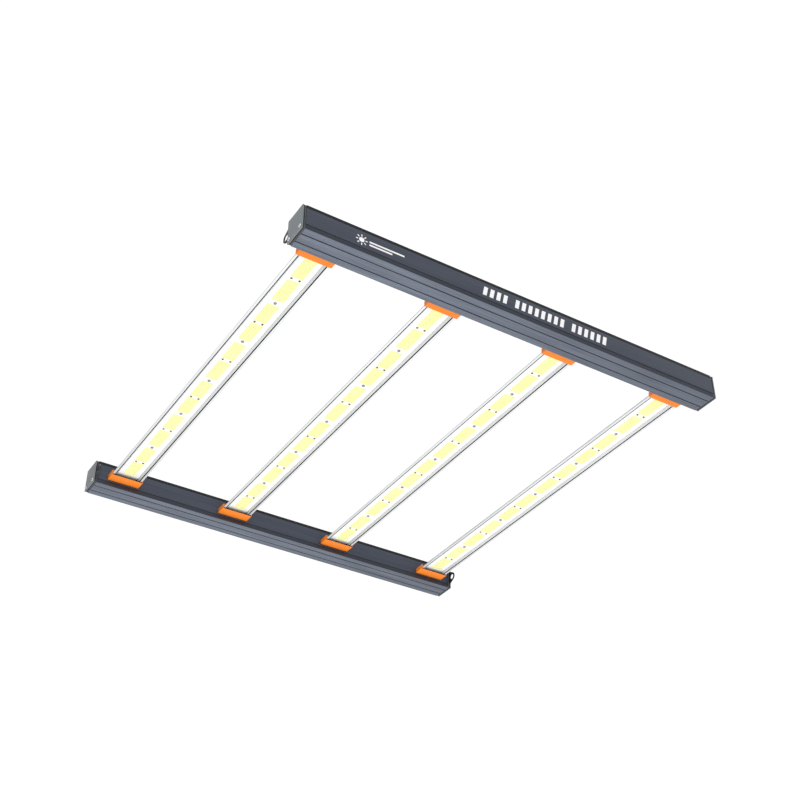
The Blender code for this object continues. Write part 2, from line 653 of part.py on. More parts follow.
def build_gland(cover):
    """A cable gland: hex body through the cover, dome nut on top, locknut under the cover."""
    place = (GLAND_X, -RAIL_Y, RAIL_HEIGHT)
    bore = circle(0, 0, GLAND_THREAD_RADIUS + GAP, FINE_SIDES)
    cut(cover, prism("gland_hole", [bore], 4 * COVER_PLATE, "Z", place))
    hex_top = GAP + GLAND_HEX_HEIGHT
    collar_top = hex_top + GLAND_COLLAR_HEIGHT
    profile = [
        (GLAND_BORE_RADIUS, collar_top),
        (GLAND_COLLAR_RADIUS, collar_top),
        (GLAND_COLLAR_RADIUS, hex_top - GLAND_HEX_HEIGHT / 2),
        (GLAND_THREAD_RADIUS, hex_top - GLAND_HEX_HEIGHT / 2),
        (GLAND_THREAD_RADIUS, -GLAND_THREAD_LENGTH),
        (GLAND_BORE_RADIUS, -GLAND_THREAD_LENGTH),
    ]
    body = turned("cable_gland_body", profile, place, paint=BLACK_NYLON)
    inside_wall = (GLAND_BORE_RADIUS + GLAND_COLLAR_RADIUS) / 2
    outlines = [circle(0, 0, GLAND_HEX_RADIUS, HEX), circle(0, 0, inside_wall, FINE_SIDES)]
    hex_place = (GLAND_X, -RAIL_Y, RAIL_HEIGHT + GAP + GLAND_HEX_HEIGHT / 2)
    boolean(body, "UNION", prism("gland_hex", outlines, GLAND_HEX_HEIGHT, "Z", hex_place))
    low = hex_top + GAP
    high = low + GLAND_DOME_HEIGHT
    shoulder = collar_top + GAP
    crown = [
        (GLAND_BORE_RADIUS + (GLAND_DOME_RADIUS - GLAND_BORE_RADIUS) * math.cos(a),
         high - GLAND_DOME_HEIGHT / 2 * (1 - math.sin(a)))
        for a in (math.radians(75), math.radians(50), math.radians(25), 0)
    ]
    dome = [(GLAND_BORE_RADIUS, high)] + crown
    dome += [(GLAND_DOME_RADIUS, low), (GLAND_COLLAR_RADIUS + GAP, low)]
    dome += [(GLAND_COLLAR_RADIUS + GAP, shoulder), (GLAND_BORE_RADIUS, shoulder)]
    turned("cable_gland_dome", dome, place, paint=BLACK_NYLON)
    nut_outlines = [circle(0, 0, GLAND_HEX_RADIUS, HEX), bore]
    nut_place = (GLAND_X, -RAIL_Y, RAIL_HEIGHT - COVER_PLATE - GAP - GLAND_NUT_HEIGHT / 2)
    prism("cable_gland_locknut", nut_outlines, GLAND_NUT_HEIGHT, "Z", nut_place, BLACK_NYLON)


def flatted(radius, flat):
    """A circle with one flat, at +u."""
    start = math.acos((radius - flat) / radius)
    turn = 2 * (math.pi - start)
    angles = [start + turn * i / SHAFT_FLAT_STEPS for i in range(SHAFT_FLAT_STEPS + 1)]
    return [(radius * math.cos(a), radius * math.sin(a)) for a in angles]


def column(name, outlines, low, high, x, paint=None):
    """A prism upright on the driver rail, between two heights above its cover's top."""
    return prism(name, outlines, high - low, "Z", (x, -RAIL_Y, RAIL_HEIGHT + (low + high) / 2), paint)


def build_dimmer(cover):
    """A potentiometer under the cover, with its nut, and the shaft and knob that turn in it."""
    bush_hole = circle(0, 0, BUSH_RADIUS + GAP, FINE_SIDES)
    cut(cover, column("bush_hole", [bush_hole], -2 * COVER_PLATE, 2 * COVER_PLATE, DIMMER_X))
    body_top = -COVER_PLATE - GAP
    place = (DIMMER_X, -RAIL_Y, RAIL_HEIGHT + body_top - POT_HEIGHT / 2)
    pot = block("dimmer_pot", (POT_WIDTH, POT_WIDTH, POT_HEIGHT), place, DRIVER_CASE)
    bush = circle(0, 0, BUSH_RADIUS, FINE_SIDES)
    bore_bottom = body_top - SHAFT_SINK
    boolean(pot, "UNION", column("dimmer_bush", [bush], bore_bottom, BUSH_HEIGHT, DIMMER_X))
    bore = circle(0, 0, SHAFT_RADIUS + GAP, FINE_SIDES)
    cut(pot, column("dimmer_bore", [bore], bore_bottom, 2 * BUSH_HEIGHT, DIMMER_X))
    nut = [circle(0, 0, BUSH_NUT_RADIUS, HEX), bush_hole]
    column("dimmer_nut", nut, GAP, GAP + BUSH_NUT_HEIGHT, DIMMER_X, STEEL)
    round_top = BUSH_HEIGHT + GAP
    shaft_outline = circle(0, 0, SHAFT_RADIUS, FINE_SIDES)
    shaft = column("dimmer_shaft", [shaft_outline], bore_bottom + GAP, round_top, DIMMER_X, STEEL)
    flat_part = flatted(SHAFT_NECK, SHAFT_FLAT)
    boolean(shaft, "UNION", column("shaft_flat", [flat_part], round_top - SHAFT_FLAT, SHAFT_TOP, DIMMER_X))
    build_knob(round_top + GAP)


def build_knob(hollow_top):
    """A fluted knob, hollow below to clear the bush and its nut, with a bore that fits the shaft's flat."""
    hollow = BUSH_NUT_RADIUS + 2 * GAP
    profile = [
        (0, KNOB_TOP),
        (KNOB_TOP_RADIUS - KNOB_CHAMFER, KNOB_TOP),
        (KNOB_TOP_RADIUS, KNOB_TOP - KNOB_CHAMFER),
        (KNOB_RADIUS, KNOB_BOTTOM),
        (hollow, KNOB_BOTTOM),
        (hollow, hollow_top),
        (0, hollow_top),
    ]
    place = (DIMMER_X, -RAIL_Y, RAIL_HEIGHT)
    knob = turned("dimmer_knob", profile, place, paint=BLACK_NYLON, sides=KNOB_SIDES)
    bore = [flatted(SHAFT_RADIUS + GAP, SHAFT_FLAT)]
    cut(knob, column("knob_bore", bore, 0, SHAFT_TOP + GAP, DIMMER_X))
    flutes = []
    for i in range(KNOB_FLUTES):
        angle = 2 * math.pi * (i + 0.5) / KNOB_FLUTES
        u, v = KNOB_RADIUS * math.cos(angle), KNOB_RADIUS * math.sin(angle)
        flutes.append(circle(u, v, KNOB_FLUTE_RADIUS, FLUTE_SIDES))
    cut(knob, column("knob_flutes", flutes, 0, 2 * KNOB_TOP, DIMMER_X))
    pointer_x = DIMMER_X + KNOB_TOP_RADIUS - POINTER_LENGTH / 2
    pointer_size = (POINTER_LENGTH, POINTER_WIDTH, 2 * POINTER_DEPTH)
    cut(knob, block("knob_pointer", pointer_size, (pointer_x, -RAIL_Y, RAIL_HEIGHT + KNOB_TOP)))


def shade_smooth():
    """Smooth the curved faces, and keep every edge over 30 degrees sharp."""
    for part in PARTS.objects:
        part.data.shade_smooth()
        part.data.set_sharp_from_angle(angle=math.radians(30))


def main():
    build_rails()
    covers = build_covers()
    build_rail_ends()
    build_bars()
    build_joints()
    build_drivers()
    build_terminals()
    build_gland(covers["driver"])
    build_dimmer(covers["driver"])
    shade_smooth()


main()
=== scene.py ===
# %% [markdown]
# # An LED grow light, from its solids to its finishes
#
# The lamp is a flat frame: two box rails, four light bars between them, and an orange clip at both ends
# of each bar. Its solids come in packed, with one joint, the dimmer, and this lesson gives them their
# looks. Each visible piece is worked out again with numpy, with the fillets, edges and recesses that a
# solid for physics leaves out, and each finish is a small node tree that starts from what the real one
# is.

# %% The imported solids
import math

import bmesh
import bpy
import numpy as np
from mathutils import Matrix, Vector
from mathutils.geometry import tessellate_polygon


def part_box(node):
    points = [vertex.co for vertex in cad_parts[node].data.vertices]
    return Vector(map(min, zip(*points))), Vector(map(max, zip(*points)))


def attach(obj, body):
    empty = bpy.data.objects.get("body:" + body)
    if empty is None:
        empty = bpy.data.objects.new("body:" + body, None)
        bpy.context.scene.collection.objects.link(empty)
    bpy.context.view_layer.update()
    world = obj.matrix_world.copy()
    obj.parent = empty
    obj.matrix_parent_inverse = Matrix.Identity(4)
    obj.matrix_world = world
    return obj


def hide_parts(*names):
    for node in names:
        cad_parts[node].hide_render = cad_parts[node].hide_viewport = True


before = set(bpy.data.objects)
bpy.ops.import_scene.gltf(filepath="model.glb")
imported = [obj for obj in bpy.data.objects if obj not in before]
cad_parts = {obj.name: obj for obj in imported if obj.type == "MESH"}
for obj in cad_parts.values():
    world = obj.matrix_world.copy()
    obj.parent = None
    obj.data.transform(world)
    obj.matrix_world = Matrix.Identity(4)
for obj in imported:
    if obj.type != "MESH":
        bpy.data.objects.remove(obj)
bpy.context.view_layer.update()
MM = 0.001


# %% [markdown]
# ## Measuring instead of copying
#
# A piece could be placed by numbers typed in from the design, and would be wrong as soon as the design
# changes. So every place below is read from the box of a solid. Only what a box can't tell, such as the
# depth of a groove, is a number here, in millimetres.

# %% Where the solids are
def box(node):
    """The lowest and the highest corner of a solid, as two arrays."""
    low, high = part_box(node)
    return np.array(low), np.array(high)


def middle(node):
    """The middle of a solid's box."""
    low, high = box(node)
    return (low + high) / 2


RAILS = {"driver": -1, "tie": 1}
ENDS = {"left": -1, "right": 1}
BARS = (1, 2, 3, 4)
rail_low, rail_high = box("driver_rail")
RAIL_WIDTH = rail_high[1] - rail_low[1]
HALF_RAIL = RAIL_WIDTH / 2 / MM
RAIL_TOP = box("driver_rail_cover")[1][2]
CHANNEL_TOP = rail_high[2]
GAP = 0.3 * MM
print("rail", round(RAIL_WIDTH / MM, 2), "mm wide,", round(RAIL_TOP / MM, 2), "mm high")

# %% [markdown]
# ## The camera
#
# The lamp hangs, and is seen from below one of its corners, so the camera stands low and looks up. An
# empty with a Track To constraint would aim it too. Here its axes are worked out from two angles, as a
# turn to the side and a tilt, because that leaves one plain matrix and nothing that depends on another
# object.

# %% A camera under the left corner of the driver rail
def aimed(place, azimuth, elevation, roll):
    """A camera's matrix: forward is the two angles' direction, right is level, and up is their cross."""
    a, e = math.radians(azimuth), math.radians(elevation)
    forward = np.array((math.sin(a) * math.cos(e), math.cos(a) * math.cos(e), math.sin(e)))
    level = np.array((math.cos(a), -math.sin(a), 0))
    upright = np.cross(level, forward)
    c, s = math.cos(roll), math.sin(roll)
    right, up = c * level + s * upright, c * upright - s * level
    matrix = np.eye(4)
    matrix[:3] = np.column_stack((right, up, -forward, place))
    return Matrix(matrix.tolist())


def linked(name, data):
    """A new object in the scene, from a mesh, a curve, a light or a camera."""
    made = bpy.data.objects.new(name, data)
    bpy.context.scene.collection.objects.link(made)
    return made


lens = bpy.data.cameras.new("camera")
lens.lens = 60.283
camera = linked("camera", lens)
camera.matrix_world = aimed((-0.7722, -1.2880, -0.9978), azimuth=31.77, elevation=35.65, roll=0.0037)
bpy.context.scene.camera = camera
print("camera at", [round(v, 3) for v in camera.matrix_world.translation], "lens", lens.lens, "mm")

# %% [markdown]
# ## Colour and nodes
#
# Colours are written as sRGB hex values, the way a paint chart or a screen gives them, and Blender's
# shaders work in linear light. One function turns the first into the second. Another adds a node with its
# settings and links in one line, so that a finish reads as a short list of what is mixed with what.

# %% Helpers for finishes
def linear(code):
    """An sRGB hex value as linear RGBA: below 0.04045 a straight line, and above it a power of 2.4."""
    s = np.array([int(code[i:i + 2], 16) for i in (0, 2, 4)]) / 255
    rgb = np.where(s <= 0.04045, s / 12.92, ((s + 0.055) / 1.055) ** 2.4)
    return (*rgb.tolist(), 1.0)


def add(tree, kind, values=None, links=None, **settings):
    """Add one node, give its settings and its sockets' values, and link sockets to other nodes' outputs."""
    made = tree.nodes.new(kind)
    for name, value in settings.items():
        setattr(made, name, value)
    for socket, value in (values or {}).items():
        made.inputs[socket].default_value = value
    for socket, output in (links or {}).items():
        tree.links.new(output, made.inputs[socket])
    return made


def per_metre(millimetres):
    """A texture's scale for features this many millimetres apart, on coordinates in metres."""
    return 1000 / millimetres


def new_material(name, **shader_values):
    """A material with one Principled shader, whose named sockets take these values."""
    material = bpy.data.materials.new(name)
    material.use_nodes = True
    tree = material.node_tree
    shader = tree.nodes["Principled BSDF"]
    for socket, value in shader_values.items():
        shader.inputs[socket.replace("_", " ")].default_value = value
    material.diffuse_color = shader.inputs["Base Color"].default_value
    return material, tree, shader


def worn(tree, shader, rough, broad, fine, strength, depth):
    """Roughness that a broad noise moves between two values, and a relief in millimetres from a fine one."""
    sheen = add(tree, "ShaderNodeMapRange", {"From Min": 0.3, "From Max": 0.7, "To Min": rough[0],
                                             "To Max": rough[1]}, {"Value": broad.outputs["Fac"]})
    tree.links.new(sheen.outputs["Result"], shader.inputs["Roughness"])
    relief = add(tree, "ShaderNodeBump", {"Strength": strength, "Distance": depth * MM},
                 {"Height": fine.outputs["Fac"]})
    tree.links.new(relief.outputs["Normal"], shader.inputs["Normal"])
    return relief


print("a mid grey,", [round(v, 3) for v in linear("808080")])

# %% [markdown]
# ## Extruded and anodised aluminium
#
# The rails and the bars are extrusions. The die leaves fine lines along the length, and anodising keeps
# them and makes them satin: dyed slate grey on the rails, nearly black on their covers, and clear on the
# bars. An image of brushed metal would repeat. A noise that is stretched a hundred times along the length
# never does, and its scale across is the real width of a die line.

# %% Anodised extrusions
def die_lines(tree, along, width, stretch, detail=4.0):
    """A noise drawn out along an axis, with lines of this width in millimetres across it."""
    place = add(tree, "ShaderNodeTexCoord").outputs["Object"]
    scale = [1.0, 1.0, 1.0]
    scale["XYZ".index(along)] = 1 / stretch
    drawn = add(tree, "ShaderNodeMapping", {"Scale": scale}, {"Vector": place}).outputs["Vector"]
    return add(tree, "ShaderNodeTexNoise", {"Scale": per_metre(width), "Detail": detail}, {"Vector": drawn})


def anodised(name, along, dark, light, rough, metallic, line=1.6, depth=0.03):
    """Die lines that shift the dye, the sheen and the surface a little, and soft patches from handling."""
    material, tree, shader = new_material(name, Metallic=metallic)
    lines = die_lines(tree, along, line, 90)
    wide = die_lines(tree, along, 9.0, 12, 2.0)
    both = add(tree, "ShaderNodeMix", {"Factor": 0.35}, {2: lines.outputs["Fac"], 3: wide.outputs["Fac"]})
    dye = add(tree, "ShaderNodeValToRGB", links={"Fac": both.outputs[0]})
    for stop, place, code in zip(dye.color_ramp.elements, (0.38, 0.62), (dark, light)):
        stop.position, stop.color = place, linear(code)
    tree.links.new(dye.outputs["Color"], shader.inputs["Base Color"])
    worn(tree, shader, (rough - 0.05, rough + 0.07), lines, lines, 0.3, depth)
    return material


# Dyed slate: a cool dark grey with a soft, directional shine along the rail
SLATE = anodised("slate_anodised_aluminium", "X", "3d4351", "464d5b", 0.45, 0.30)
# The ribbed underside: the slate painted paler than the plain walls, as painted light from below
UNDERSIDE_LIT_SLATE = anodised("slate_with_painted_light_from_below", "X", "5a616d", "757c8a", 0.42, 0.45, 0.9)
# In the grooves and on the low band the slate is painted darker than the walls, as painted shade
SHADED_SLATE = anodised("slate_with_painted_groove_shade", "X", "2b303a", "333844", 0.50, 0.25)
# Dyed near black: the eye gets its shape only from the shine of its edges
NIGHT = anodised("black_anodised_aluminium", "X", "131417", "1b1d22", 0.45, 0.30)
# Clear anodised: pale silver, with fine drawn lines that catch the light across the bar
SILVER = anodised("clear_anodised_aluminium", "Y", "dadcde", "e8e9ea", 0.50, 0.35, 1.1, 0.01)
# Among the fins and down the flanks the silver is painted darker, as painted shade
SHADED_SILVER = anodised("silver_with_painted_fin_shade", "Y", "a6aaae", "b9bdc1", 0.50, 0.50, 1.1, 0.01)
# In the narrow slots the walls are painted nearly black, as painted shade
SLOT_SHADE = anodised("painted_slot_shade", "Y", "101112", "1a1b1d", 0.70, 0.0)
EXTRUDED = (SLATE, UNDERSIDE_LIT_SLATE, SHADED_SLATE, NIGHT, SILVER, SHADED_SILVER, SLOT_SHADE)
print("anodised:", [m.name for m in EXTRUDED])

# %% [markdown]
# ## Sheet and steel
#
# The end caps are stamped from aluminium sheet and finished grey. Rolling leaves the sheet a very fine
# grain, and tumbling softens it, so a small noise drives the bump and a broader one the roughness. The
# screws are stainless steel, and the tool leaves rings on them. On a head five millimetres across, a fine
# even grain looks the same.

# %% Sheet, steel and plain metal
def grained(name, colour, rough, metallic, grain, depth, spread=0.06, **more):
    """An even grain of this size in millimetres that roughens the surface by a little here and there."""
    material, tree, shader = new_material(name, Metallic=metallic, **more)
    place = add(tree, "ShaderNodeTexCoord").outputs["Object"]
    fine = add(tree, "ShaderNodeTexNoise", {"Scale": per_metre(grain), "Detail": 3.0}, {"Vector": place})
    patch = per_metre(14 * grain)
    broad = add(tree, "ShaderNodeTexNoise", {"Scale": patch, "Detail": 2.0}, {"Vector": place})
    pale = add(tree, "ShaderNodeHueSaturation", {"Value": 1.14, "Color": linear(colour)})
    deep = add(tree, "ShaderNodeHueSaturation", {"Value": 0.88, "Color": linear(colour)})
    tone = add(tree, "ShaderNodeMix", links={"Factor": broad.outputs["Fac"], 6: deep.outputs[0],
                                             7: pale.outputs[0]}, data_type="RGBA")
    tree.links.new(tone.outputs[2], shader.inputs["Base Color"])
    worn(tree, shader, (rough - spread, rough + spread), broad, fine, 0.4, depth)
    material.diffuse_color = linear(colour)
    return material


# Satin grey sheet: flat and even, lighter than the rails
SHEET = grained("grey_satin_sheet", "80868a", 0.50, 0.35, 0.5, 0.03)
# Black powder coat: it hides the ear behind the cap, and only its rim catches light
POWDER = grained("black_powder_coat", "1d1e21", 0.48, 0.0, 0.6, 0.04, IOR=1.5)
# Passivated stainless steel: the brightest spots on the lamp
STEEL = grained("passivated_stainless_steel", "d9dadc", 0.22, 1.0, 0.4, 0.01, 0.04)
# Zinc-plated steel: a little bluer and duller
ZINC = grained("zinc_plated_steel", "b9bec6", 0.32, 1.0, 0.5, 0.02)
# Plain sheet round the drivers
CASE = grained("plain_aluminium_sheet", "b8bbbe", 0.42, 0.9, 0.8, 0.03)
print("metals:", [m.name for m in (SHEET, POWDER, STEEL, ZINC, CASE)])

# %% [markdown]
# ## Plastics and rubber
#
# The clips are moulded in orange nylon. The mould is spark-eroded, which gives the satin skin of small
# pits that hides flow marks. The gland, its nuts and the knob are the same nylon in black, the gaskets
# are grey rubber, the pads under the drivers are soft grey silicone and the terminal block is green
# polyamide. All are dielectrics with an index near 1.5, and what sets them apart is the size of the grain
# and how rough they are.

# %% Moulded pieces
# Orange nylon: strong, slightly waxy colour with a soft highlight along each rounded edge
ORANGE = grained("moulded_orange_nylon", "f2810c", 0.55, 0.0, 0.35, 0.03, IOR=1.53)
# Black nylon: the same skin, dark enough that only the highlights show its shape. It also paints the clips'
# floor notches black, as painted shade
BLACK_NYLON_AND_NOTCH_SHADE = grained("black_nylon_and_painted_notch_shade", "1b1c1e", 0.42, 0.0, 0.35, 0.03, IOR=1.53)
# Rubber: no highlight at all
RUBBER = grained("grey_gasket_rubber", "5e6064", 0.80, 0.0, 0.4, 0.04, IOR=1.52)
# Silicone pad: grey and dry
SILICONE = grained("grey_thermal_silicone", "8f969c", 0.85, 0.0, 0.6, 0.05, IOR=1.41)
# Terminal green
GREEN = grained("green_polyamide", "2f8f57", 0.45, 0.0, 0.4, 0.03, IOR=1.53)
# Screen ink: white, thin and quite matt, with the metal's grain under it
INK = grained("white_screen_ink", "ffffff", 0.55, 0.0, 0.5, 0.02, IOR=1.5)
print("moulded and printed:", [m.name for m in (ORANGE, BLACK_NYLON_AND_NOTCH_SHADE, RUBBER, SILICONE, GREEN, INK)])

# %% [markdown]
# ## The light source
#
# The boards carry hundreds of white diodes in moulded packages, each filled with yellow phosphor in
# silicone, and a few deep red ones under clear domes, which look brown when they are off. The lamp is off
# here, so nothing glows. The phosphor is grainy, a little glossy, and the light sinks into it, which some
# subsurface gives.

# %% Board and diodes
def solder_mask():
    """White lacquer over copper, whose islands stand up under it as rectangles, one for each two diodes."""
    material, tree, shader = new_material("white_solder_mask", Base_Color=linear("f6f6f3"), IOR=1.52,
                                          Coat_Weight=0.15)
    place = add(tree, "ShaderNodeTexCoord").outputs["Object"]
    turned = add(tree, "ShaderNodeMapping", {"Rotation": (0, 0, math.pi / 2)}, {"Vector": place})
    # Copper islands 8.2 mm long and 3.25 mm wide, with 0.3 mm between them
    copper = add(tree, "ShaderNodeTexBrick", {"Scale": 1.0, "Mortar Size": 0.3 * MM, "Mortar Smooth": 0.6,
                 "Brick Width": 8.2 * MM, "Row Height": 3.25 * MM}, {"Vector": turned.outputs["Vector"]})
    drops = add(tree, "ShaderNodeTexNoise", {"Scale": per_metre(1.5), "Detail": 3.0}, {"Vector": place})
    relief = add(tree, "ShaderNodeBump", {"Strength": 0.5, "Distance": 0.05 * MM},
                 {"Height": copper.outputs["Fac"]}, invert=True)
    lacquer = worn(tree, shader, (0.28, 0.42), drops, drops, 0.15, 0.03)
    tree.links.new(relief.outputs["Normal"], lacquer.inputs["Normal"])
    return material


def phosphor():
    """Yellow powder in silicone: grains of about 0.1 mm, drawn at 0.3 mm so that they show."""
    material, tree, shader = new_material("yellow_phosphor_silicone", Roughness=0.35, IOR=1.41,
                                          Subsurface_Weight=0.15, Subsurface_Scale=0.3 * MM)
    place = add(tree, "ShaderNodeTexCoord").outputs["Object"]
    grains = add(tree, "ShaderNodeTexNoise", {"Scale": per_metre(0.3), "Detail": 2.0}, {"Vector": place})
    tone = add(tree, "ShaderNodeValToRGB", links={"Fac": grains.outputs["Fac"]})
    for stop, place, code in zip(tone.color_ramp.elements, (0.35, 0.65), ("f8f598", "fdfaac")):
        stop.position, stop.color = place, linear(code)
    tree.links.new(tone.outputs["Color"], shader.inputs["Base Color"])
    relief = add(tree, "ShaderNodeBump", {"Strength": 0.2, "Distance": 0.02 * MM},
                 {"Height": grains.outputs["Fac"]})
    tree.links.new(relief.outputs["Normal"], shader.inputs["Normal"])
    return material


MASK = solder_mask()
PHOSPHOR = phosphor()
# Moulded package: a bright white polymer that takes a yellow cast from the phosphor it surrounds
PACKAGE = grained("white_package_polymer", "fbfcd2", 0.38, 0.0, 0.4, 0.02, IOR=1.53)
# Deep red diode, off: a brown glint under a clear dome
DOME = grained("unlit_deep_red_silicone", "56382a", 0.20, 0.0, 0.5, 0.005, 0.03, IOR=1.41, Coat_Weight=0.6)
# Black-oxide steel of the board's screws: grey with a hint of violet
DARK_STEEL = grained("black_oxide_steel", "a09ea6", 0.40, 0.7, 0.4, 0.01)
print("light source:", [m.name for m in (MASK, PHOSPHOR, PACKAGE, DOME, DARK_STEEL)])

# %% [markdown]
# ## One way to make a prism
#
# Rails, covers, bars, boards, caps and gaskets are all prisms: one section, carried along a straight
# path. A curve with a bevel would carry it too, but its ends would be sharp. Here the section is an
# array, and the ends are rounded by moving the same outline inwards as it nears the end face, by a
# quarter of a circle. A saw-cut and deburred extrusion looks like that.

# %% Outlines
def filleted(corners, steps=3):
    """Round each corner (u, v, radius) with the circle that touches both its sides, as an arc of chords.

    The circle's centre is on the corner's bisector, radius / sin(half the angle) away, and the arc is the
    swing of the radius from one touching point to the other.
    """
    corners = np.asarray(corners, float)
    point, radius = corners[:, :2], corners[:, 2:]
    back = np.roll(point, 1, 0) - point
    ahead = np.roll(point, -1, 0) - point
    back /= np.linalg.norm(back, axis=1, keepdims=True)
    ahead /= np.linalg.norm(ahead, axis=1, keepdims=True)
    half = np.arccos(np.clip((back * ahead).sum(1, keepdims=True), -1, 1)) / 2
    bisector = back + ahead
    bisector /= np.linalg.norm(bisector, axis=1, keepdims=True)
    centre = point + bisector * radius / np.sin(half)
    first = point + back * radius / np.tan(half) - centre
    last = point + ahead * radius / np.tan(half) - centre
    swing = np.pi - 2 * half
    share = np.linspace(0, 1, steps + 1)[:, None, None]
    arc = (np.sin((1 - share) * swing) * first + np.sin(share * swing) * last) / np.sin(swing)
    return (centre + arc).transpose(1, 0, 2).reshape(-1, 2)


def mirrored(half):
    """Close the +u half of a section, given from its bottom to its top, by its reflection in u = 0."""
    half = np.asarray(half, float)
    return np.vstack((half, half[::-1] * (-1, 1, 1)))


def rectangle(low, high, radius, steps=3):
    """A rounded rectangle between two opposite corners."""
    corners = ((low[0], low[1]), (high[0], low[1]), (high[0], high[1]), (low[0], high[1]))
    return filleted([(*corner, radius) for corner in corners], steps)


def circle(u, v, radius, sides=24):
    """A circle as an outline, walked so that the material is on the left, outside it."""
    angle = -np.arange(sides) * 2 * np.pi / sides
    return np.column_stack((u + radius * np.cos(angle), v + radius * np.sin(angle)))


print("a rounded square has", len(rectangle((0, 0), (4, 4), 1)), "points")

# %% Meshes and prisms
CREASE = math.radians(30)


def new_piece(name, points, faces, materials, shares=None):
    """Points and faces as an object, with its doubles merged and its faces turned outwards."""
    mesh = bpy.data.meshes.new(name)
    mesh.from_pydata(np.asarray(points).tolist(), [], [list(map(int, face)) for face in faces])
    for material in materials:
        mesh.materials.append(material)
    if shares is not None:
        mesh.polygons.foreach_set("material_index", np.asarray(shares, np.int32))
    shape = bmesh.new()
    shape.from_mesh(mesh)
    bmesh.ops.remove_doubles(shape, verts=shape.verts, dist=1e-7)
    bmesh.ops.recalc_face_normals(shape, faces=shape.faces)
    shape.to_mesh(mesh)
    shape.free()
    mesh.shade_smooth()
    mesh.set_sharp_from_angle(angle=CREASE)
    return linked(name, mesh)


def inset(outline, distance):
    """Move each point of an outline into the material on its left, square to the line by its neighbours."""
    run = np.roll(outline, -1, 0) - np.roll(outline, 1, 0)
    run /= np.linalg.norm(run, axis=1, keepdims=True)
    return outline + distance * np.column_stack((-run[:, 1], run[:, 0]))


def skin(rings, count, closed=False):
    """Four-sided faces that join point s and s + 1 of ring k to the same points of ring k + 1."""
    k, s = np.meshgrid(np.arange(rings if closed else rings - 1), np.arange(count), indexing="ij")
    ring, following, after = k * count, (k + 1) % rings * count, (s + 1) % count
    return np.stack((ring + s, ring + after, following + after, following + s), -1).reshape(-1, 4)


def prism(name, outlines, along, low, high, edge, material, steps=2):
    """Carry outlines from low to high along an axis, both ends rounded by a quarter circle of radius edge.

    The outline's u and v are Y and Z along X, X and Z along Y, and X and Y along Z. Ring k has turned by an
    angle a from the end face: it is inset by edge (1 - sin a), and edge (1 - cos a) from the end.
    """
    turn = np.linspace(0, np.pi / 2, steps + 1)
    insets = edge * (1 - np.sin(turn))
    insets = np.concatenate((insets, insets[::-1]))
    places = edge * (1 - np.cos(turn))
    places = np.concatenate((low + places, (high - places)[::-1]))
    rings, counts = len(places), [len(outline) for outline in outlines]
    starts = np.cumsum([0, *counts]) * rings
    points, faces = [], []
    for outline, count, start in zip(outlines, counts, starts):
        flat = np.stack([inset(outline, distance) for distance in insets]).reshape(-1, 2)
        station = np.repeat(places, count)[:, None]
        points.append(np.hstack({"X": (station, flat), "Y": (flat[:, :1], station, flat[:, 1:]),
                                 "Z": (flat, station)}[along]))
        faces += (skin(rings, count) + start).tolist()
    fill = np.array(tessellate_polygon([[Vector((*p, 0)) for p in inset(o, insets[0])] for o in outlines]))
    first = np.concatenate([start + np.arange(count) for start, count in zip(starts, counts)])
    last = first + np.repeat(counts, counts) * (rings - 1)
    faces += first[fill].tolist() + last[fill].tolist()
    return new_piece(name, np.vstack(points), faces, [material])


def stands_for(piece, body, slot, *nodes):
    """The piece moves with a body and stands for these solids, which it hides. The slot is not used."""
    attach(piece, body)
    if nodes:
        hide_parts(*nodes)


def evaluated(piece):
    """A piece's mesh with its modifiers, or a text's mesh."""
    return bpy.data.meshes.new_from_object(piece.evaluated_get(bpy.context.evaluated_depsgraph_get()))


def combined(operation, piece, *others):
    """Cut other pieces from one, or unite them with it, and keep only the result."""
    for other in others:
        step = piece.modifiers.new(other.name, "BOOLEAN")
        step.operation, step.object, step.solver = operation, other, "EXACT"
    mesh = evaluated(piece)
    piece.modifiers.clear()
    piece.data = mesh
    mesh.shade_smooth()
    mesh.set_sharp_from_angle(angle=CREASE)
    for other in others:
        bpy.data.objects.remove(other)


print("a prism's side over 6 rings of 20 points has", len(skin(6, 20)), "faces")

# %% [markdown]
# ## The rails
#
# Each rail is a channel with a ribbed underside and two grooves in it, a plain band low on each side, and
# a groove above the band. The end caps' screws run into a block in each lower corner. The section is
# written once as half an outline of corners with their radii, and mirrored. The die's corners are never
# sharp, so even the grooves get 0.15 mm.

# %% Rail section and rails
RIB_PITCH, RIB_DEPTH = 1.1, 0.15
WALL, FLOOR, BAND_INSET, BAND_TOP = 1.8, 2.4, 0.3, 5.8
GROOVE_DEPTH, GROOVE_TOP, FLOOR_GROOVE = 0.9, 6.8, (6.35, 7.85)
BLOCK_IN, BLOCK_TOP = 7.5, 7.7
BOLT_HOLE = 2.3
CAP_SCREW_IN, CAP_SCREW_Z, CAP_SCREW_HOLE = 4.6, 4.8, 1.7
SAWN_EDGE = 0.25 * MM


def ribs_between(start, stop):
    """V-shaped furrows cut up into a flat, a rib's pitch apart, as corners from start to stop."""
    count = round((stop - start) / RIB_PITCH)
    furrow = start + (np.arange(count) + 0.5) * (stop - start) / count
    u = furrow[:, None] + (-0.25, 0, 0.25)
    z = np.tile((0, RIB_DEPTH, 0), (count, 1))
    return np.stack((u, z, np.full_like(u, 0.04)), -1).reshape(-1, 3).tolist()


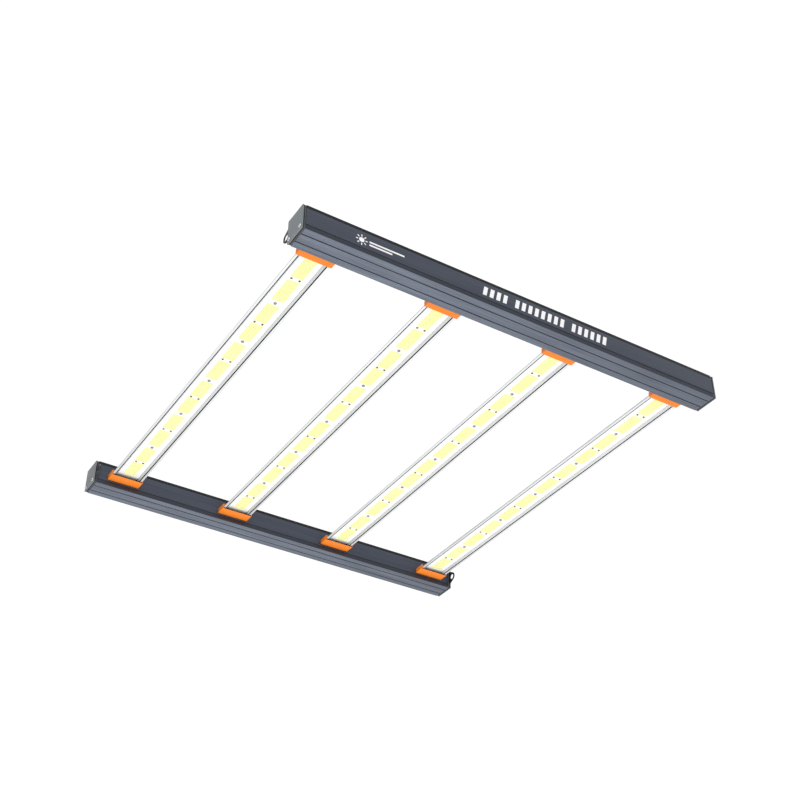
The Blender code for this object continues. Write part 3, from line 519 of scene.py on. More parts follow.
def rail_outline():
    """Half the channel's section: ribs and floor groove, the outer side, and back in to the corner block."""
    half, band, top = HALF_RAIL, HALF_RAIL - BAND_INSET, CHANNEL_TOP / MM
    wall, block, deep, (near, far) = half - WALL, half - BLOCK_IN, half - GROOVE_DEPTH, FLOOR_GROOVE
    corners = [*ribs_between(0.3, 6.0), (near, 0, 0.1), (near, GROOVE_DEPTH, 0.15),
               (far, GROOVE_DEPTH, 0.15), (far, 0, 0.1),
               *ribs_between(8.2, 16.3), (band, 0, 0.5), (band, BAND_TOP, 0.15),
               (deep, BAND_TOP, 0.15), (deep, GROOVE_TOP, 0.15), (half, GROOVE_TOP, 0.2), (half, top, 0.25),
               (wall, top, 0.25), (wall, BLOCK_TOP, 0.5), (block, BLOCK_TOP, 0.5), (block, FLOOR, 0.5)]
    return filleted(mirrored(corners)) * MM


def shifted(outlines, u):
    """Outlines moved sideways by u."""
    return [outline + (u, 0) for outline in outlines]


def inner_face(rail):
    """The y of the rail's face that looks at the bars."""
    low, high = box(rail + "_rail")
    return high[1] if RAILS[rail] < 0 else low[1]


BOLT_Z = middle("bar_bolt_driver_1")[2]
BAR_LOW = box("bar_heat_sink_1")[0]
BOARD_LOW, BOARD_HIGH = box("led_board_1")
BAR_X = {i: middle(f"bar_heat_sink_{i}")[0] for i in BARS}
WIRE_Z = (BAR_LOW[2] + BOARD_LOW[2]) / 2


def holes_at(x, y, reach):
    """Cutters for one clip's bolt and wires, run square through a wall at y."""
    bolt = circle(x, BOLT_Z, BOLT_HOLE * MM)[::-1]
    wires = rectangle((-4, -1), (4, 1), 0.5) * MM + (x, WIRE_Z)
    return [prism(name, [outline], "Y", y - reach, y + reach, 0.0, SLATE)
            for name, outline in (("bolt_hole", bolt), ("wire_slot", wires))]


def second_finish(piece, material, chosen):
    """Give one more material to the faces that a test on their centres and normals picks."""
    piece.data.materials.append(material)
    polygons = piece.data.polygons
    centre, normal = np.empty(len(polygons) * 3), np.empty(len(polygons) * 3)
    share = np.empty(len(polygons), np.int32)
    polygons.foreach_get("center", centre)
    polygons.foreach_get("normal", normal)
    polygons.foreach_get("material_index", share)
    picked = chosen(centre.reshape(-1, 3), normal.reshape(-1, 3))
    share[picked] = len(piece.data.materials) - 1
    polygons.foreach_set("material_index", share)
    return int(picked.sum())


def cap_screw_holes():
    """The two holes that an end cap's screws pass, as outlines about the rail's middle."""
    u = HALF_RAIL - CAP_SCREW_IN
    return [circle(side * u, CAP_SCREW_Z, CAP_SCREW_HOLE, 20) * MM for side in (-1, 1)]


for name in RAILS:
    low, high = box(name + "_rail")
    centre = (low[1] + high[1]) / 2
    rail = prism(name + "_rail_extrusion", shifted([rail_outline(), *cap_screw_holes()], centre), "X",
                 low[0], high[0], SAWN_EDGE, SLATE)
    face = inner_face(name)
    combined("DIFFERENCE", rail, *[cutter for x in BAR_X.values() for cutter in holes_at(x, face, 3 * MM)])
    # The faces that look down are painted paler, as painted light from below
    second_finish(rail, UNDERSIDE_LIT_SLATE, lambda at, facing: (at[:, 2] < 0.3 * MM) & (facing[:, 2] < -0.5))
    # The low band, the side grooves and the floor grooves are painted darker, as painted shade
    second_finish(rail, SHADED_SLATE, lambda at, facing: (at[:, 2] < (GROOVE_TOP + 0.2) * MM)
                  & (abs(facing[:, 1]) > 0.5) & (abs(at[:, 1] - centre) > 16 * MM))
    second_finish(rail, SHADED_SLATE, lambda at, facing: (at[:, 2] > 0.3 * MM)
                  & (at[:, 2] < (GROOVE_DEPTH + 0.1) * MM) & (abs(at[:, 1] - centre) < 8 * MM))
    stands_for(rail, "frame", "rail", name + "_rail")
print("rail section has", len(rail_outline()), "points; a rail has", len(rail.data.polygons), "faces")

# %% [markdown]
# ## The covers
#
# A cover snaps into each channel from above on two legs. On the driver rail it carries the cable gland
# and the dimmer, so it has two round holes. Its rim stands 4.2 mm high on the channel, and from below it
# shows as a black line over the slate. The rim's upper edge is chamfered.

# %% Covers
COVER_PLATE, LEG_THICKNESS, LEG_REACH, COVER_CHAMFER = 1.8, 1.4, 3.4, 0.5
GLAND_HOLE, DIMMER_HOLE = 6.3, 3.7


def cover_outline():
    """Half the cover's section: the leg's inner side, its foot, its outer side, the rim and the chamfer."""
    half, top, under = HALF_RAIL, RAIL_TOP / MM, (CHANNEL_TOP + GAP) / MM
    leg, foot = half - WALL - GAP / MM, under - LEG_REACH
    inner = leg - LEG_THICKNESS
    corners = [(inner, top - COVER_PLATE, 0.3), (inner, foot, 0.3), (leg, foot, 0.3), (leg, under, 0.1),
               (half, under, 0.1), (half, top - COVER_CHAMFER, 0.2), (half - COVER_CHAMFER, top, 0.2)]
    return filleted(mirrored(corners)) * MM


def round_hole(centre, radius):
    """A cutter that runs down through the cover."""
    outline = circle(centre[0], centre[1], radius * MM, 32)[::-1]
    return prism("round_hole", [outline], "Z", RAIL_TOP - 4 * MM, RAIL_TOP + 4 * MM, 0.0, NIGHT)


GLAND = middle("cable_gland_dome")
DIMMER = middle("dimmer_knob")
for name in RAILS:
    low, high = box(name + "_rail_cover")
    cover = prism(name + "_snap_cover", shifted([cover_outline()], (low[1] + high[1]) / 2), "X",
                  low[0], high[0], SAWN_EDGE, NIGHT)
    if name == "driver":
        combined("DIFFERENCE", cover, round_hole(GLAND, GLAND_HOLE), round_hole(DIMMER, DIMMER_HOLE))
    stands_for(cover, "frame", "rail_cover", name + "_rail_cover")
print("covers:", len(cover.data.polygons), "faces on the plain one")

# %% [markdown]
# ## End caps, ears and gaskets
#
# Three plates are stacked on each end of a rail. The outer one is a grey cap, cut from sheet. Behind it
# is a black plate with an ear that stands inboard of the rail, and the lamp hangs on the ear's round
# hole. The ear's outline is an arc about the hole, joined to the plate by two straight flanks that touch
# the arc. Behind that is a rubber gasket. The punch rounds one edge of a sheet and the other is deburred,
# so both are softened.

# %% Caps, ears and gaskets
EAR_REACH, EAR_Z, EAR_RADIUS, EAR_HOLE = 7.0, 17.25, 6.9, 4.0
EAR_ROOTS = (5.5, 29.0)
EAR_INSET, GASKET_INSET, PLATE_CORNER = 0.3, 0.4, 1.2


def plate_outline(inset_by):
    """The rail's outline as a rounded rectangle in millimetres, this far inside it."""
    half = HALF_RAIL - inset_by
    return rectangle((-half, inset_by), (half, RAIL_TOP / MM - inset_by), PLATE_CORNER, 4)


def ear_arc(root_z, sense):
    """The angle at which a straight flank from a root on the plate's edge touches the ear's circle."""
    reach = math.hypot(EAR_REACH, root_z - EAR_Z)
    return math.atan2(root_z - EAR_Z, -EAR_REACH) + sense * math.acos(EAR_RADIUS / reach)


def ear_outline():
    """The plate's rounded rectangle with the ear's flanks and arc let into its inboard side."""
    body = plate_outline(EAR_INSET)
    angle = np.linspace(ear_arc(EAR_ROOTS[0], 1), ear_arc(EAR_ROOTS[1], -1), 24)
    arc = (HALF_RAIL + EAR_REACH, EAR_Z) + EAR_RADIUS * np.column_stack((np.cos(angle), np.sin(angle)))
    low_root, high_root = [(HALF_RAIL - EAR_INSET, z) for z in EAR_ROOTS]
    return np.vstack((body[:len(body) // 2], [low_root], arc, [high_root], body[len(body) // 2:])) * MM


def gasket_hollow():
    """The channel's hollow, left open in the gasket."""
    wall, block, top = HALF_RAIL - WALL, HALF_RAIL - BLOCK_IN, CHANNEL_TOP / MM - LEG_REACH
    half = [(block, FLOOR, 0.4), (block, BLOCK_TOP, 0.4), (wall, BLOCK_TOP, 0.4), (wall, top, 0.4)]
    return filleted(mirrored(half))[::-1] * MM


def turned_inboard(outlines, side, centre):
    """Outlines drawn with the ear at +u, flipped for the rail whose inboard side is -Y, about its middle."""
    if side < 0:
        return shifted(outlines, centre)
    return [outline[::-1] * (-1, 1) + (centre, 0) for outline in outlines]


ear_hole = circle(HALF_RAIL + EAR_REACH, EAR_Z, EAR_HOLE, 36) * MM
PLATES = (("end_cap", [plate_outline(0.0) * MM], 0.35, SHEET, "end_cap"),
          ("hanging_ear", [ear_outline(), ear_hole], 0.3, POWDER, "hanging_ear"),
          ("gasket", [plate_outline(GASKET_INSET) * MM, gasket_hollow()], 0.2, RUBBER, "rubber"))
for rail, side in RAILS.items():
    centre = middle(rail + "_rail")[1]
    for end in ENDS:
        for kind, outlines, edge, finish, slot in PLATES:
            node = f"{kind}_{rail}_{end}"
            low, high = box(node)
            outlines = turned_inboard([*outlines, *cap_screw_holes()], side, centre)
            plate = prism("stamped_" + node, outlines, "X", low[0], high[0], edge * MM, finish)
            stands_for(plate, "frame", slot, node)
print("caps, ears and gaskets:", 4 * len(PLATES), "plates")

# %% [markdown]
# ## Light bars
#
# A bar is an extruded heat sink: fins and a screw boss on top, sloped flanks, and a lip along each side
# that the clips hold. Below, the board lies in a recess, between two narrow slots that could hold the
# edges of a lens. The section carries all of it, so the whole bar is one prism. Its fin tips are rounded
# and its fin roots filleted, because a die has to be strong enough there. Three materials share it: the
# silver that is seen from below, the same silver painted darker down the flanks and among the fins, and
# the slots' insides painted nearly black, both as painted shade.

# %% Heat sinks
BAR_HALF, LIP_THICKNESS, LIP_REACH = 22.0, 1.8, 2.1
SLOT_MIDDLE, SLOT_HALF, SLOT_DEPTH = 18.2, 0.7, 1.9
BOSS_HALF, FIN_HALF = 3.9, 0.7


def sink_outline():
    """Half the heat sink's section: the recess, the slot, the lip, the flank, three fins and the boss."""
    base, deck, roof = BAR_LOW[2] / MM, BOLT_Z / MM - BOSS_HALF, BOARD_HIGH[2] / MM + GAP / MM
    recess, shoulder, lip_top, slot_top = 15.3, 16.5, base + LIP_THICKNESS, base + SLOT_DEPTH
    slot_in, slot_out = SLOT_MIDDLE - SLOT_HALF, SLOT_MIDDLE + SLOT_HALF
    corners = [(recess, roof, 0.2), (recess, base + 3.4, 0.2), (slot_in, base, 0.2),
               (slot_in, slot_top, 0.15), (slot_out, slot_top, 0.15), (slot_out, base, 0.2),
               (BAR_HALF, base, 0.3), (BAR_HALF, lip_top, 0.3), (BAR_HALF - LIP_REACH, lip_top, 0.3),
               (shoulder, base + 5.2, 0.5), (shoulder, deck, 0.5)]
    for fin, height in ((14.5, 2.0), (11.0, 4.2), (7.5, 6.2)):
        corners += [(fin + FIN_HALF, deck, 0.3), (fin + FIN_HALF, deck + height, 0.5),
                    (fin - FIN_HALF, deck + height, 0.5), (fin - FIN_HALF, deck, 0.3)]
    corners += [(4.0, deck, 0.4), (4.0, deck + 2 * BOSS_HALF, 0.8)]
    return filleted(mirrored(corners)) * MM


for i, x in BAR_X.items():
    low, high = box(f"bar_heat_sink_{i}")
    bore = circle(0, BOLT_Z, BOLT_HOLE * MM, 20)
    section = shifted([sink_outline(), bore], x)
    sink = prism(f"finned_bar_{i}", section, "Y", low[1], high[1], 0.2 * MM, SILVER)
    # The slots' walls are painted nearly black, as painted shade
    slots = second_finish(sink, SLOT_SHADE, lambda at, facing:
                          (abs(abs(at[:, 0] - x) - SLOT_MIDDLE * MM) < (SLOT_HALF + 0.01) * MM)
                          & (at[:, 2] > low[2] + 0.25 * MM) & (at[:, 2] < low[2] + 2.0 * MM))
    # The flanks and the faces among the fins are painted darker, as painted shade
    second_finish(sink, SHADED_SILVER, lambda at, facing: (at[:, 2] > low[2] + 2.05 * MM)
                  & ((abs(at[:, 0] - x) > 15.9 * MM) | (at[:, 2] > BOARD_HIGH[2] + 0.8 * MM)))
    stands_for(sink, "frame", "heat_sink", f"bar_heat_sink_{i}")
print("heat sink section has", len(sink_outline()), "points,", slots, "dark slot faces on a bar")

# %% [markdown]
# ## Diodes
#
# A board holds three modules, one after another, and each module has four blocks of white diodes with
# pairs of red ones and a screw between them. A collection instance for each diode would be light in
# Blender and is lost on export. Copying one small mesh in Python is slow. With numpy the copies are one
# sum: every place plus every corner of the template.

# %% Copies of a template
def copies(template, places):
    """A template at many places: each place + each corner, and face + number of the copy x corner count."""
    corners, faces, shares = template
    places = np.asarray(places)
    points = (places[:, None] + corners[None]).reshape(-1, 3)
    starts = np.arange(len(places))[:, None, None] * len(corners)
    return points, (faces[None] + starts).reshape(-1, faces.shape[1]), np.tile(shares, len(places))


def package(width, length, height, rim, dish):
    """A diode package, light side down, in four rings of corners: foot, top edge, window edge, window floor.

    Each ring is a rectangle, this much further in and this deep under the board. Rings join into sides, and
    the first and the last ring are closed by one face each.
    """
    inward = np.array([0, 0.08, rim, rim + 0.1])
    depth = np.array([0, height, height, height - dish])
    reach = np.array([width / 2, length / 2]) - inward[:, None]
    sign = np.array([(-1, -1), (1, -1), (1, 1), (-1, 1)])
    corners = np.dstack((reach[:, None] * sign, -np.tile(depth[:, None], 4)))
    faces = np.vstack((skin(4, 4), [[0, 1, 2, 3]], [[12, 13, 14, 15]]))
    shares = np.array([0] * (len(faces) - 1) + [1])
    return corners.reshape(-1, 3) * MM, faces, shares


# %% Where the diodes are
MODULE_LENGTH = 181.0
MODULES = (-1.5, -0.5, 0.5)
WHITE_BLOCKS = ((23.6, 9), (69.35, 10), (117.2, 9), (159.2, 9))
COLUMN_PITCH, ROW_PITCH, COLUMNS = 3.25, 4.1, 5
RED_ROWS = (44.5, 138.1)
RED_OFFSET = 5.25
SCREW_ROW = 95.0
BOARD_FACE = BOARD_LOW[2]


def module_places(offsets):
    """These offsets along every module of a board, as distances from the bar's middle, in metres."""
    start = np.array(MODULES) * MODULE_LENGTH
    return (start[:, None] + np.asarray(offsets)).ravel() * MM


def on_board(across, along):
    """Every distance along the board crossed with every one across it, as points on its face."""
    y, u = np.meshgrid(along, across, indexing="ij")
    return np.column_stack((u.ravel(), y.ravel(), np.full(u.size, BOARD_FACE)))


def white_places(x):
    """Rows at each block's centre + (n - the middle n) x the pitch, crossed with the columns likewise."""
    rows = np.concatenate([centre + (np.arange(n) - (n - 1) / 2) * ROW_PITCH for centre, n in WHITE_BLOCKS])
    return on_board(x + (np.arange(COLUMNS) - (COLUMNS - 1) / 2) * COLUMN_PITCH * MM, module_places(rows))


def red_places(x):
    """A pair across the bar between two blocks, twice in each module."""
    return on_board(x + np.array([-1, 1]) * RED_OFFSET * MM, module_places(RED_ROWS))


def screw_places(x):
    """A screw inside each module, and one where two modules meet."""
    joints = np.array([-0.5, 0.5]) * MODULE_LENGTH * MM
    return on_board([x], np.concatenate((module_places([SCREW_ROW]), joints)))


for i, x in BAR_X.items():
    places = white_places(x)
    diode = package(width=3.0, length=3.8, height=0.50, rim=0.13, dish=0.06)
    points, faces, shares = copies(diode, places)
    diodes = new_piece(f"white_diodes_{i}", points, faces, [PACKAGE, PHOSPHOR], shares)
    stands_for(diodes, "frame", "led_board")
print(len(places), "white diodes on a board,", len(BAR_X) * len(places), "on the lamp")

# %% [markdown]
# ## Turned and lobed pieces
#
# Screw heads, the gland's nuts and the knob are all turned shapes whose outline from above isn't always
# round: a cross or a hexagon for the driver, six flats for the spanner, flutes for the fingers. So one
# function serves for all: a ring of a given radius at a given height, whose radius may also change round
# the ring.

# %% Shapes seen from above, and a turned piece
SEGMENTS = 48
ROUND = np.arange(SEGMENTS) * 2 * np.pi / SEGMENTS


def hexagon(angle):
    """A hexagon with corners at 1: the apothem over the cosine of the angle to the nearest flat's middle."""
    return math.cos(math.pi / 6) / np.cos((angle % (math.pi / 3)) - math.pi / 6)


def cross(angle):
    """A cross recess: the radius falls from 1 on four arms to a third between them."""
    return 0.34 + 0.66 * np.abs(np.cos(2 * angle)) ** 6


def fluted(count, depth):
    """Round with flutes: the radius drops by depth over a narrow stretch, count times round."""
    return lambda angle: 1 - depth * np.clip(np.cos(count * angle), 0, 1) ** 3


def ring_points(rings):
    """Radius x shape(angle) at each ring's height, as rings of points about +Z; round without a shape."""
    lobes = [shape[0](ROUND) if shape else np.ones(SEGMENTS) for _, _, *shape in rings]
    reach = np.array([[ring[0]] for ring in rings]) * lobes
    height = np.repeat([[ring[1]] for ring in rings], SEGMENTS, axis=1)
    return np.stack((reach * np.cos(ROUND), reach * np.sin(ROUND), height), -1) * MM


POINTING = {
    "+Z": Matrix.Identity(3), "-Z": Matrix.Rotation(math.pi, 3, "X"),
    "+X": Matrix.Rotation(math.pi / 2, 3, "Y"), "-X": Matrix.Rotation(-math.pi / 2, 3, "Y"),
}


def turned(name, rings, places, pointing, material, closed=False):
    """Rings joined into one skin, closed at both ends or bored through, and copied to each place."""
    points = (ring_points(rings) @ np.array(POINTING[pointing]).T).reshape(-1, 3)
    faces = skin(len(rings), SEGMENTS, closed)
    points, faces, _ = copies((points, faces, np.zeros(len(faces), int)), places)
    return new_piece(name, points, faces, [material])


# %% Board screws and red diodes
CROSS_HEAD = [(0, 0.5), (0.5, 0.5, cross), (0.95, 1.15, cross), (1.3, 1.28), (1.7, 1.05), (1.95, 0.65),
              (2.0, 0.02), (0, 0.02)]
DOME_RINGS = [(0, 1.6), (0.5, 1.53), (0.95, 1.3), (1.25, 0.97), (1.4, 0.62), (1.4, 0.5), (0, 0.5)]
for i, x in BAR_X.items():
    screws = turned(f"board_screws_{i}", CROSS_HEAD, screw_places(x), "-Z", DARK_STEEL)
    stands_for(screws, "frame", "bolts")
    base = package(width=3.0, length=3.0, height=0.6, rim=0.3, dish=0.05)
    points, faces, _ = copies(base, red_places(x))
    bases = new_piece(f"red_diode_bases_{i}", points, faces, [MASK])
    stands_for(bases, "frame", "led_board")
    domes = turned(f"red_diode_domes_{i}", DOME_RINGS, red_places(x), "-Z", DOME)
    stands_for(domes, "frame", "led_board")
print(len(red_places(0)), "red diodes and", len(screw_places(0)), "screws on a board")

# %% [markdown]
# ## Boards
#
# The board is a plain plate, 1.6 mm thick, with routed corners. Its tracks are in the finish, as relief
# under the lacquer. Each screw head needs no hole to show, since it covers it.

# %% Boards
for i in BARS:
    low, high = box(f"led_board_{i}")
    outline = rectangle(low, high, 1.0 * MM, 4)
    board = prism(f"diode_board_{i}", [outline], "Z", low[2], high[2], 0.1 * MM, MASK)
    stands_for(board, "frame", "led_board", f"led_board_{i}")
print("boards", round((high[1] - low[1]) / MM, 1), "mm long")

# %% [markdown]
# ## Clips
#
# A clip is a moulded sleeve: a floor under the bar's end, hooks over both lips, a back wall against the
# rail, and a tongue up the back that the bolt goes through. It is two prisms along the bar, the sleeve
# and the back wall, united into one closed skin, and then the holes are cut, with a shallow notch in the
# floor at its open end. The notch's faces are painted black, as painted shade, and show as a dark line.
# The edges are well rounded.

# %% Clips
HOOK_TOP, BACK_WALL, OVERLAP = 7.4, 3.0 * MM, 1.0 * MM
LIP_ROOM = BAR_HALF + GAP / MM
HOOK_INNER = BAR_HALF - LIP_REACH + GAP / MM
NOTCH_HALF, NOTCH_LOW, NOTCH_HIGH, NOTCH_DEPTH = 22.2, 0.35, 2.0, 9.0 * MM


def sleeve_outline(low, high):
    """Half the sleeve: the outer side, the top of the hook, and its underside back to the floor."""
    half, floor, top = (high[0] - low[0]) / 2 / MM, low[2] / MM, low[2] / MM + HOOK_TOP
    seat, hook = BAR_LOW[2] / MM - GAP / MM, BAR_LOW[2] / MM + LIP_THICKNESS + GAP / MM
    corners = [(half, floor, 1.0), (half, top, 0.8), (HOOK_INNER, top, 0.5), (HOOK_INNER, hook, 0.3),
               (LIP_ROOM, hook, 0.3), (LIP_ROOM, seat, 0.3)]
    return filleted(mirrored(corners)) * MM


def back_outline(low, high):
    """Half the back wall: the sleeve's outer side, its shoulder and the tongue's slope."""
    half, floor, top = (high[0] - low[0]) / 2 / MM, low[2] / MM, low[2] / MM + HOOK_TOP
    corners = [(half, floor, 1.0), (half, top, 0.8), (15.0, top, 1.2), (7.5, high[2] / MM, 1.5)]
    return filleted(mirrored(corners)) * MM


def inlay_cutter(x, floor, mouth):
    """The notch in the floor, from its open end inwards, whose faces are painted black as shade, as a cutter
    that runs past the mouth.
    """
    outline = rectangle((-NOTCH_HALF, NOTCH_LOW), (NOTCH_HALF, NOTCH_HIGH), 0.1) * MM + (x, floor)
    return prism("core", [outline], "Y", mouth - NOTCH_DEPTH, mouth + NOTCH_DEPTH, 0.0, ORANGE)


for rail, side in RAILS.items():
    for i, x in BAR_X.items():
        low, high = box(f"bar_clip_{rail}_{i}")
        near, far = low[1], high[1]
        if side < 0:
            mouth, back, run = far, (near, near + BACK_WALL), (near + BACK_WALL - OVERLAP, far)
        else:
            mouth, back, run = near, (far - BACK_WALL, far), (near, far - BACK_WALL + OVERLAP)
        sleeve = shifted([sleeve_outline(low, high)], x)
        clip = prism(f"moulded_clip_{rail}_{i}", sleeve, "Y", *run, 0.5 * MM, ORANGE)
        wall = prism("back_wall", shifted([back_outline(low, high)], x), "Y", *back, 0.4 * MM, ORANGE)
        combined("UNION", clip, wall)
        combined("DIFFERENCE", clip, *holes_at(x, sum(back) / 2, 4 * MM), inlay_cutter(x, low[2], mouth))
        # The notch's faces, except those that look down, are painted black, as painted shade
        second_finish(clip, BLACK_NYLON_AND_NOTCH_SHADE, lambda at, facing: (abs(at[:, 1] - mouth) < NOTCH_DEPTH + 0.1 * MM)
                      & (abs(at[:, 2] - low[2] - 0.8 * MM) < 0.75 * MM)
                      & (abs(at[:, 0] - x) < (NOTCH_HALF + 0.1) * MM) & (facing[:, 2] > -0.8))
        stands_for(clip, "frame", "clip", f"bar_clip_{rail}_{i}")
print("clips with", len(clip.data.polygons), "faces")

# %% [markdown]
# ## Screws, gland and dimmer
#
# The end caps' screws are button heads with a hexagon socket. The cable gland is a hexagon body and a
# domed nut with fine ribs for the fingers. The dimmer's knob has flutes, and a white line that points at
# a scale from 0 to 10 printed on the cover.

# %% Cap screws
BUTTON_HEAD = [(0, 0.55), (1.1, 0.6, hexagon), (1.15, 1.3, hexagon), (1.55, 1.34), (2.1, 1.1), (2.5, 0.6),
               (2.6, 0.3), (1.4, 0.3), (1.4, -11.8), (1.1, -12.0), (0, -12.0)]
for rail in RAILS:
    for end, direction in ENDS.items():
        for k in (1, 2):
            node = f"cap_screw_{rail}_{end}_{k}"
            face = box(f"end_cap_{rail}_{end}")[direction > 0][0]
            screw = turned("button_" + node, BUTTON_HEAD, [(face, *middle(node)[1:])],
                           "+X" if direction > 0 else "-X", STEEL)
            stands_for(screw, "frame", "screws", node)
print("cap screws with", len(screw.data.polygons), "faces")

# %% Gland and knob
def on_cover(node):
    """The place on the cover's top under the middle of a solid, as a list of one."""
    return [(*middle(node)[:2], RAIL_TOP)]


GLAND_BODY = [(3.6, 5.7), (5.0, 5.7), (5.2, 5.5), (5.2, 3.7), (8.6, 3.7, hexagon), (9.0, 3.4, hexagon),
              (9.0, 0.5, hexagon), (8.8, 0.3, hexagon), (6.0, 0.3), (6.0, -6.8), (5.8, -7.0), (3.6, -7.0)]
ribs = fluted(24, 0.05)
GLAND_DOME = [(3.6, 10.4), (4.7, 10.3), (6.0, 9.7), (7.2, 8.4), (7.7, 7.0), (7.8, 6.4, ribs),
              (7.8, 4.6, ribs), (7.6, 4.0), (5.5, 4.0), (5.5, 6.0), (3.6, 6.0)]
GLAND_NUT = [(6.3, -2.1), (8.6, -2.1, hexagon), (9.0, -2.4, hexagon), (9.0, -4.8, hexagon),
             (8.6, -5.1, hexagon), (6.3, -5.1)]
for name, rings in (("body", GLAND_BODY), ("dome", GLAND_DOME), ("locknut", GLAND_NUT)):
    node = "cable_gland_" + name
    place = on_cover("cable_gland_dome")
    piece = turned("moulded_gland_" + name, rings, place, "+Z", BLACK_NYLON_AND_NOTCH_SHADE, closed=True)
    stands_for(piece, "frame", "black_nylon", node)

flutes = fluted(12, 0.14)
KNOB_TOP = 9.8
KNOB = [(0, KNOB_TOP), (5.6, KNOB_TOP), (6.3, 9.65), (6.8, 9.1, flutes), (7.55, 1.5, flutes), (7.6, 1.0),
        (6.2, 1.0), (6.1, 4.6), (0, 4.6)]
knob = turned("fluted_knob", KNOB, on_cover("dimmer_knob"), "+Z", BLACK_NYLON_AND_NOTCH_SHADE)
stands_for(knob, "dimmer", "knob", "dimmer_knob")
print("gland and knob with", len(piece.data.polygons), "and", len(knob.data.polygons), "faces")

# %% [markdown]
# ## Print
#
# Ink lies 0.05 mm proud of what it is printed on. The knob's pointer, the ticks and the stripes are flat
# parallelograms of that thickness. The numbers come from Blender's own font, made into meshes before they
# are put in place. The stripes along the driver rail are plain slanted bars, and beside them is the usual
# sign for brightness.

# %% Pointer, ticks and numbers
INK_HEIGHT = 0.05 * MM
TICK_RADIUS, NUMBER_RADIUS, NUMBER_SIZE = 9.4, 12.4, 2.6 * MM
DIAL_TURN, DIAL_STEPS = math.radians(270), 10


def strip(place, length, width, angle=0.0, lean=0.0):
    """A parallelogram in millimetres about a place, leaning by a share of its width, turned by an angle."""
    across = np.array([(-1, -1), (1, -1), (1, 1), (-1, 1)]) * (length / 2, width / 2)
    across[:, 0] += lean * across[:, 1]
    c, s = math.cos(angle), math.sin(angle)
    return across @ np.array(((c, s), (-s, c))) * MM + tuple(place)


def around(centre, radius, angle):
    """The point at an angle on a circle of this radius, in millimetres, about a centre."""
    return centre[0] + radius * MM * math.cos(angle), centre[1] + radius * MM * math.sin(angle)


def inked(name, outline, height):
    """Ink on a face that looks up."""
    return prism(name, [outline], "Z", height, height + INK_HEIGHT, 0.0, INK)


def number(text, place):
    """A number as a flat mesh on the cover, read from the driver rail's outer side."""
    curve = bpy.data.curves.new("number_" + text, "FONT")
    curve.body, curve.size, curve.extrude = text, NUMBER_SIZE, INK_HEIGHT / 2
    curve.align_x, curve.align_y, curve.resolution_u = "CENTER", "CENTER", 3
    guide = linked("guide", curve)
    mesh = evaluated(guide)
    bpy.data.objects.remove(guide)
    mesh.transform(Matrix.Translation((*place, RAIL_TOP + INK_HEIGHT / 2)))
    return linked("number_" + text, mesh)


def joined(name, pieces):
    """One printed object from several, as one mesh."""
    shape = bmesh.new()
    for piece in pieces:
        shape.from_mesh(piece.data)
        bpy.data.objects.remove(piece)
    mesh = bpy.data.meshes.new(name)
    shape.to_mesh(mesh)
    shape.free()
    mesh.materials.append(INK)
    return linked(name, mesh)


pointer = inked("knob_pointer", strip(DIMMER[:2] + (3.6 * MM, 0), 4.4, 0.8), RAIL_TOP + KNOB_TOP * MM)
stands_for(pointer, "dimmer", "knob")
scale_pieces = []
for step in range(DIAL_STEPS + 1):
    angle = -DIAL_TURN * step / DIAL_STEPS
    length = 1.0 if step % 2 else 1.6
    tick = strip(around(DIMMER, TICK_RADIUS, angle), length, 0.3, angle)
    scale_pieces.append(inked("tick", tick, RAIL_TOP))
    if step % 2 == 0:
        scale_pieces.append(number(str(step), around(DIMMER, NUMBER_RADIUS, angle)))
dial = joined("dimmer_scale", scale_pieces)
stands_for(dial, "frame", "rail_cover")
print("dial scale with", len(dial.data.polygons), "faces")

# %% Stripes, lines and the sign on the driver rail
STRIPES = ((238.0, 276.0), (284.0, 360.0), (368.0, 425.0))
STRIPE_PITCH, STRIPE_Z = 9.5, 18.2
LINES = ((18.6, 46.0), (14.2, 30.0))
LINE_START, LINE_WIDTH = 85.0, 2.2
SUN_PLACE, SUN_RADIUS, RAYS, RAY_RADIUS = (75.0, 17.5), 3.4, 8, 6.2


def from_left(u, v):
    """A place on the driver rail's outer face, in millimetres from its left end and its underside."""
    return box("end_cap_driver_left")[0][0] + u * MM, v * MM


def on_outer_face(name, outline):
    """Ink on the driver rail's outer face, just proud of it."""
    face = rail_low[1]
    return prism(name, [outline], "Y", face - INK_HEIGHT, face + 0.01 * MM, 0.0, INK)


printed = []
for start, stop in STRIPES:
    count = round((stop - start) / STRIPE_PITCH)
    for u in start + (np.arange(count) + 0.5) * (stop - start) / count:
        printed.append(on_outer_face("stripe", strip(from_left(u, STRIPE_Z), 5.4, 13.0, lean=0.22)))
for v, length in LINES:
    line = strip(from_left(LINE_START + length / 2, v), length, LINE_WIDTH)
    printed.append(on_outer_face("line", line))
sun = from_left(*SUN_PLACE)
printed.append(on_outer_face("sun_disc", circle(*sun, SUN_RADIUS * MM, 32)[::-1]))
for angle in np.arange(RAYS) * 2 * math.pi / RAYS:
    printed.append(on_outer_face("ray", strip(around(sun, RAY_RADIUS, angle), 3.0, 1.3, angle)))
marks = joined("rail_print", printed)
stands_for(marks, "frame", "rail")
print("print with", len(marks.data.polygons), "faces")

# %% [markdown]
# ## Finishes on the solids that stay
#
# What is out of sight keeps its solid: bolts, drivers, pads, terminals, the potentiometer and its shaft.
# Each still gets the finish of the real thing, because the model may be opened.

# %% Finishes inside
INSIDE = {"bar_bolt": ZINC, "led_driver": CASE, "thermal_pad": SILICONE, "terminal_block": GREEN,
          "dimmer_pot": CASE, "dimmer_nut": ZINC, "dimmer_shaft": ZINC}
for name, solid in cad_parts.items():
    for prefix, material in INSIDE.items():
        if name.startswith(prefix):
            solid.data.materials.clear()
            solid.data.materials.append(material)
print("finished inside:", sum(name.startswith(tuple(INSIDE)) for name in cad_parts), "solids")

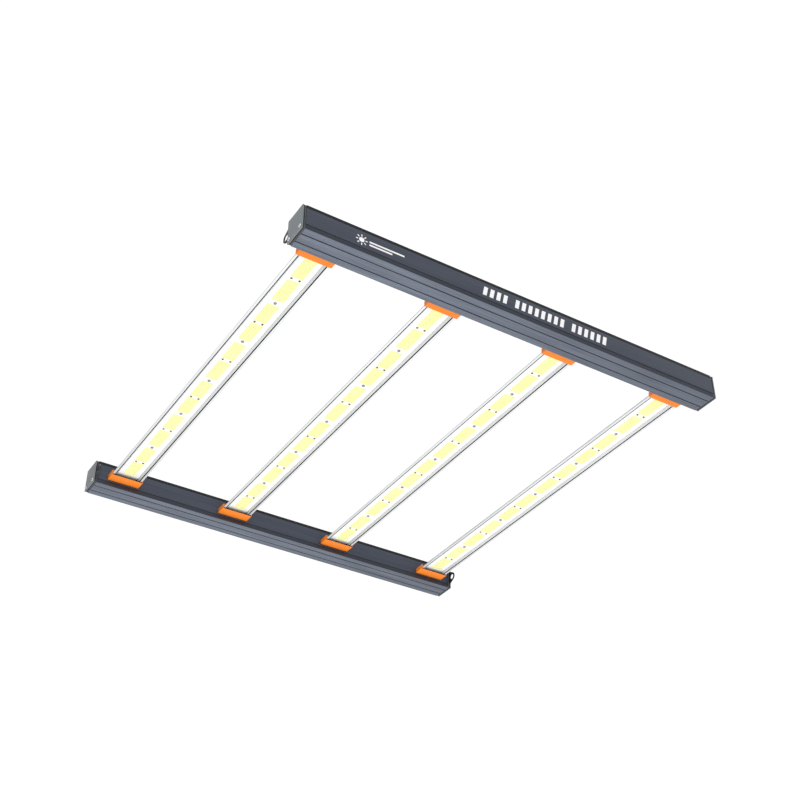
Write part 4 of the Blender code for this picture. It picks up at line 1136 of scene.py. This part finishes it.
# %% [markdown]
# ## Floor and light
#
# The studio is plain: a pale floor well below the lamp, a white surround, and three large soft lights,
# one below the lamp, one above it and one to the side. The one below is the largest, because that is the
# side that is seen. The surround is white to the camera and dimmer to everything else, as a lit backdrop
# behind an object is.

# %% Floor
FLOOR_REACH, FLOOR_HEIGHT = 60.0, -2.3
corners = np.array([(-1, -1, 0), (1, -1, 0), (1, 1, 0), (-1, 1, 0)]) * FLOOR_REACH + (0, 0, FLOOR_HEIGHT)
floor_mesh = bpy.data.meshes.new("floor")
floor_mesh.from_pydata(corners.tolist(), [], [(0, 1, 2, 3)])
floor_paint, _, _ = new_material("pale_floor_paint", Base_Color=linear("fbfbfb"), Roughness=0.9)
floor_mesh.materials.append(floor_paint)
linked("floor", floor_mesh)
print("floor", -FLOOR_HEIGHT, "m below the lamp")

# %% Lights
def soft_light(name, place, size, watts):
    """A square area light that looks at the lamp and doesn't show itself."""
    light = bpy.data.lights.new(name, "AREA")
    light.shape, light.size, light.energy = "SQUARE", size, watts
    made = linked(name, light)
    turn = (-Vector(place)).to_track_quat("-Z", "Y").to_matrix().to_4x4()
    made.matrix_world = Matrix.Translation(place) @ turn
    made.visible_camera = False


soft_light("from_below", (0.0, 0.0, -2.0), size=2.4, watts=22)
soft_light("from_above", (0.4, 0.4, 2.2), size=1.6, watts=24)
soft_light("from_the_side", (-1.6, -2.4, 0.4), size=1.4, watts=14)

world = bpy.data.worlds.new("studio")
bpy.context.scene.world = world
world.use_nodes = True
tree = world.node_tree
surround = tree.nodes["Background"]
seen = add(tree, "ShaderNodeBackground", {"Color": linear("ffffff"), "Strength": 1.05})
surround.inputs["Color"].default_value = linear("ffffff")
surround.inputs["Strength"].default_value = 0.75
path = add(tree, "ShaderNodeLightPath")
both = add(tree, "ShaderNodeMixShader", links={"Fac": path.outputs["Is Camera Ray"], 1: surround.outputs[0],
                                               2: seen.outputs[0]})
tree.links.new(both.outputs[0], tree.nodes["World Output"].inputs["Surface"])
bpy.context.scene.view_settings.view_transform = "Standard"

# %% [markdown]
# ## The last step
#
# The view layer is updated once more, after the last piece is made.

# %% Update the view layer
bpy.context.view_layer.update()
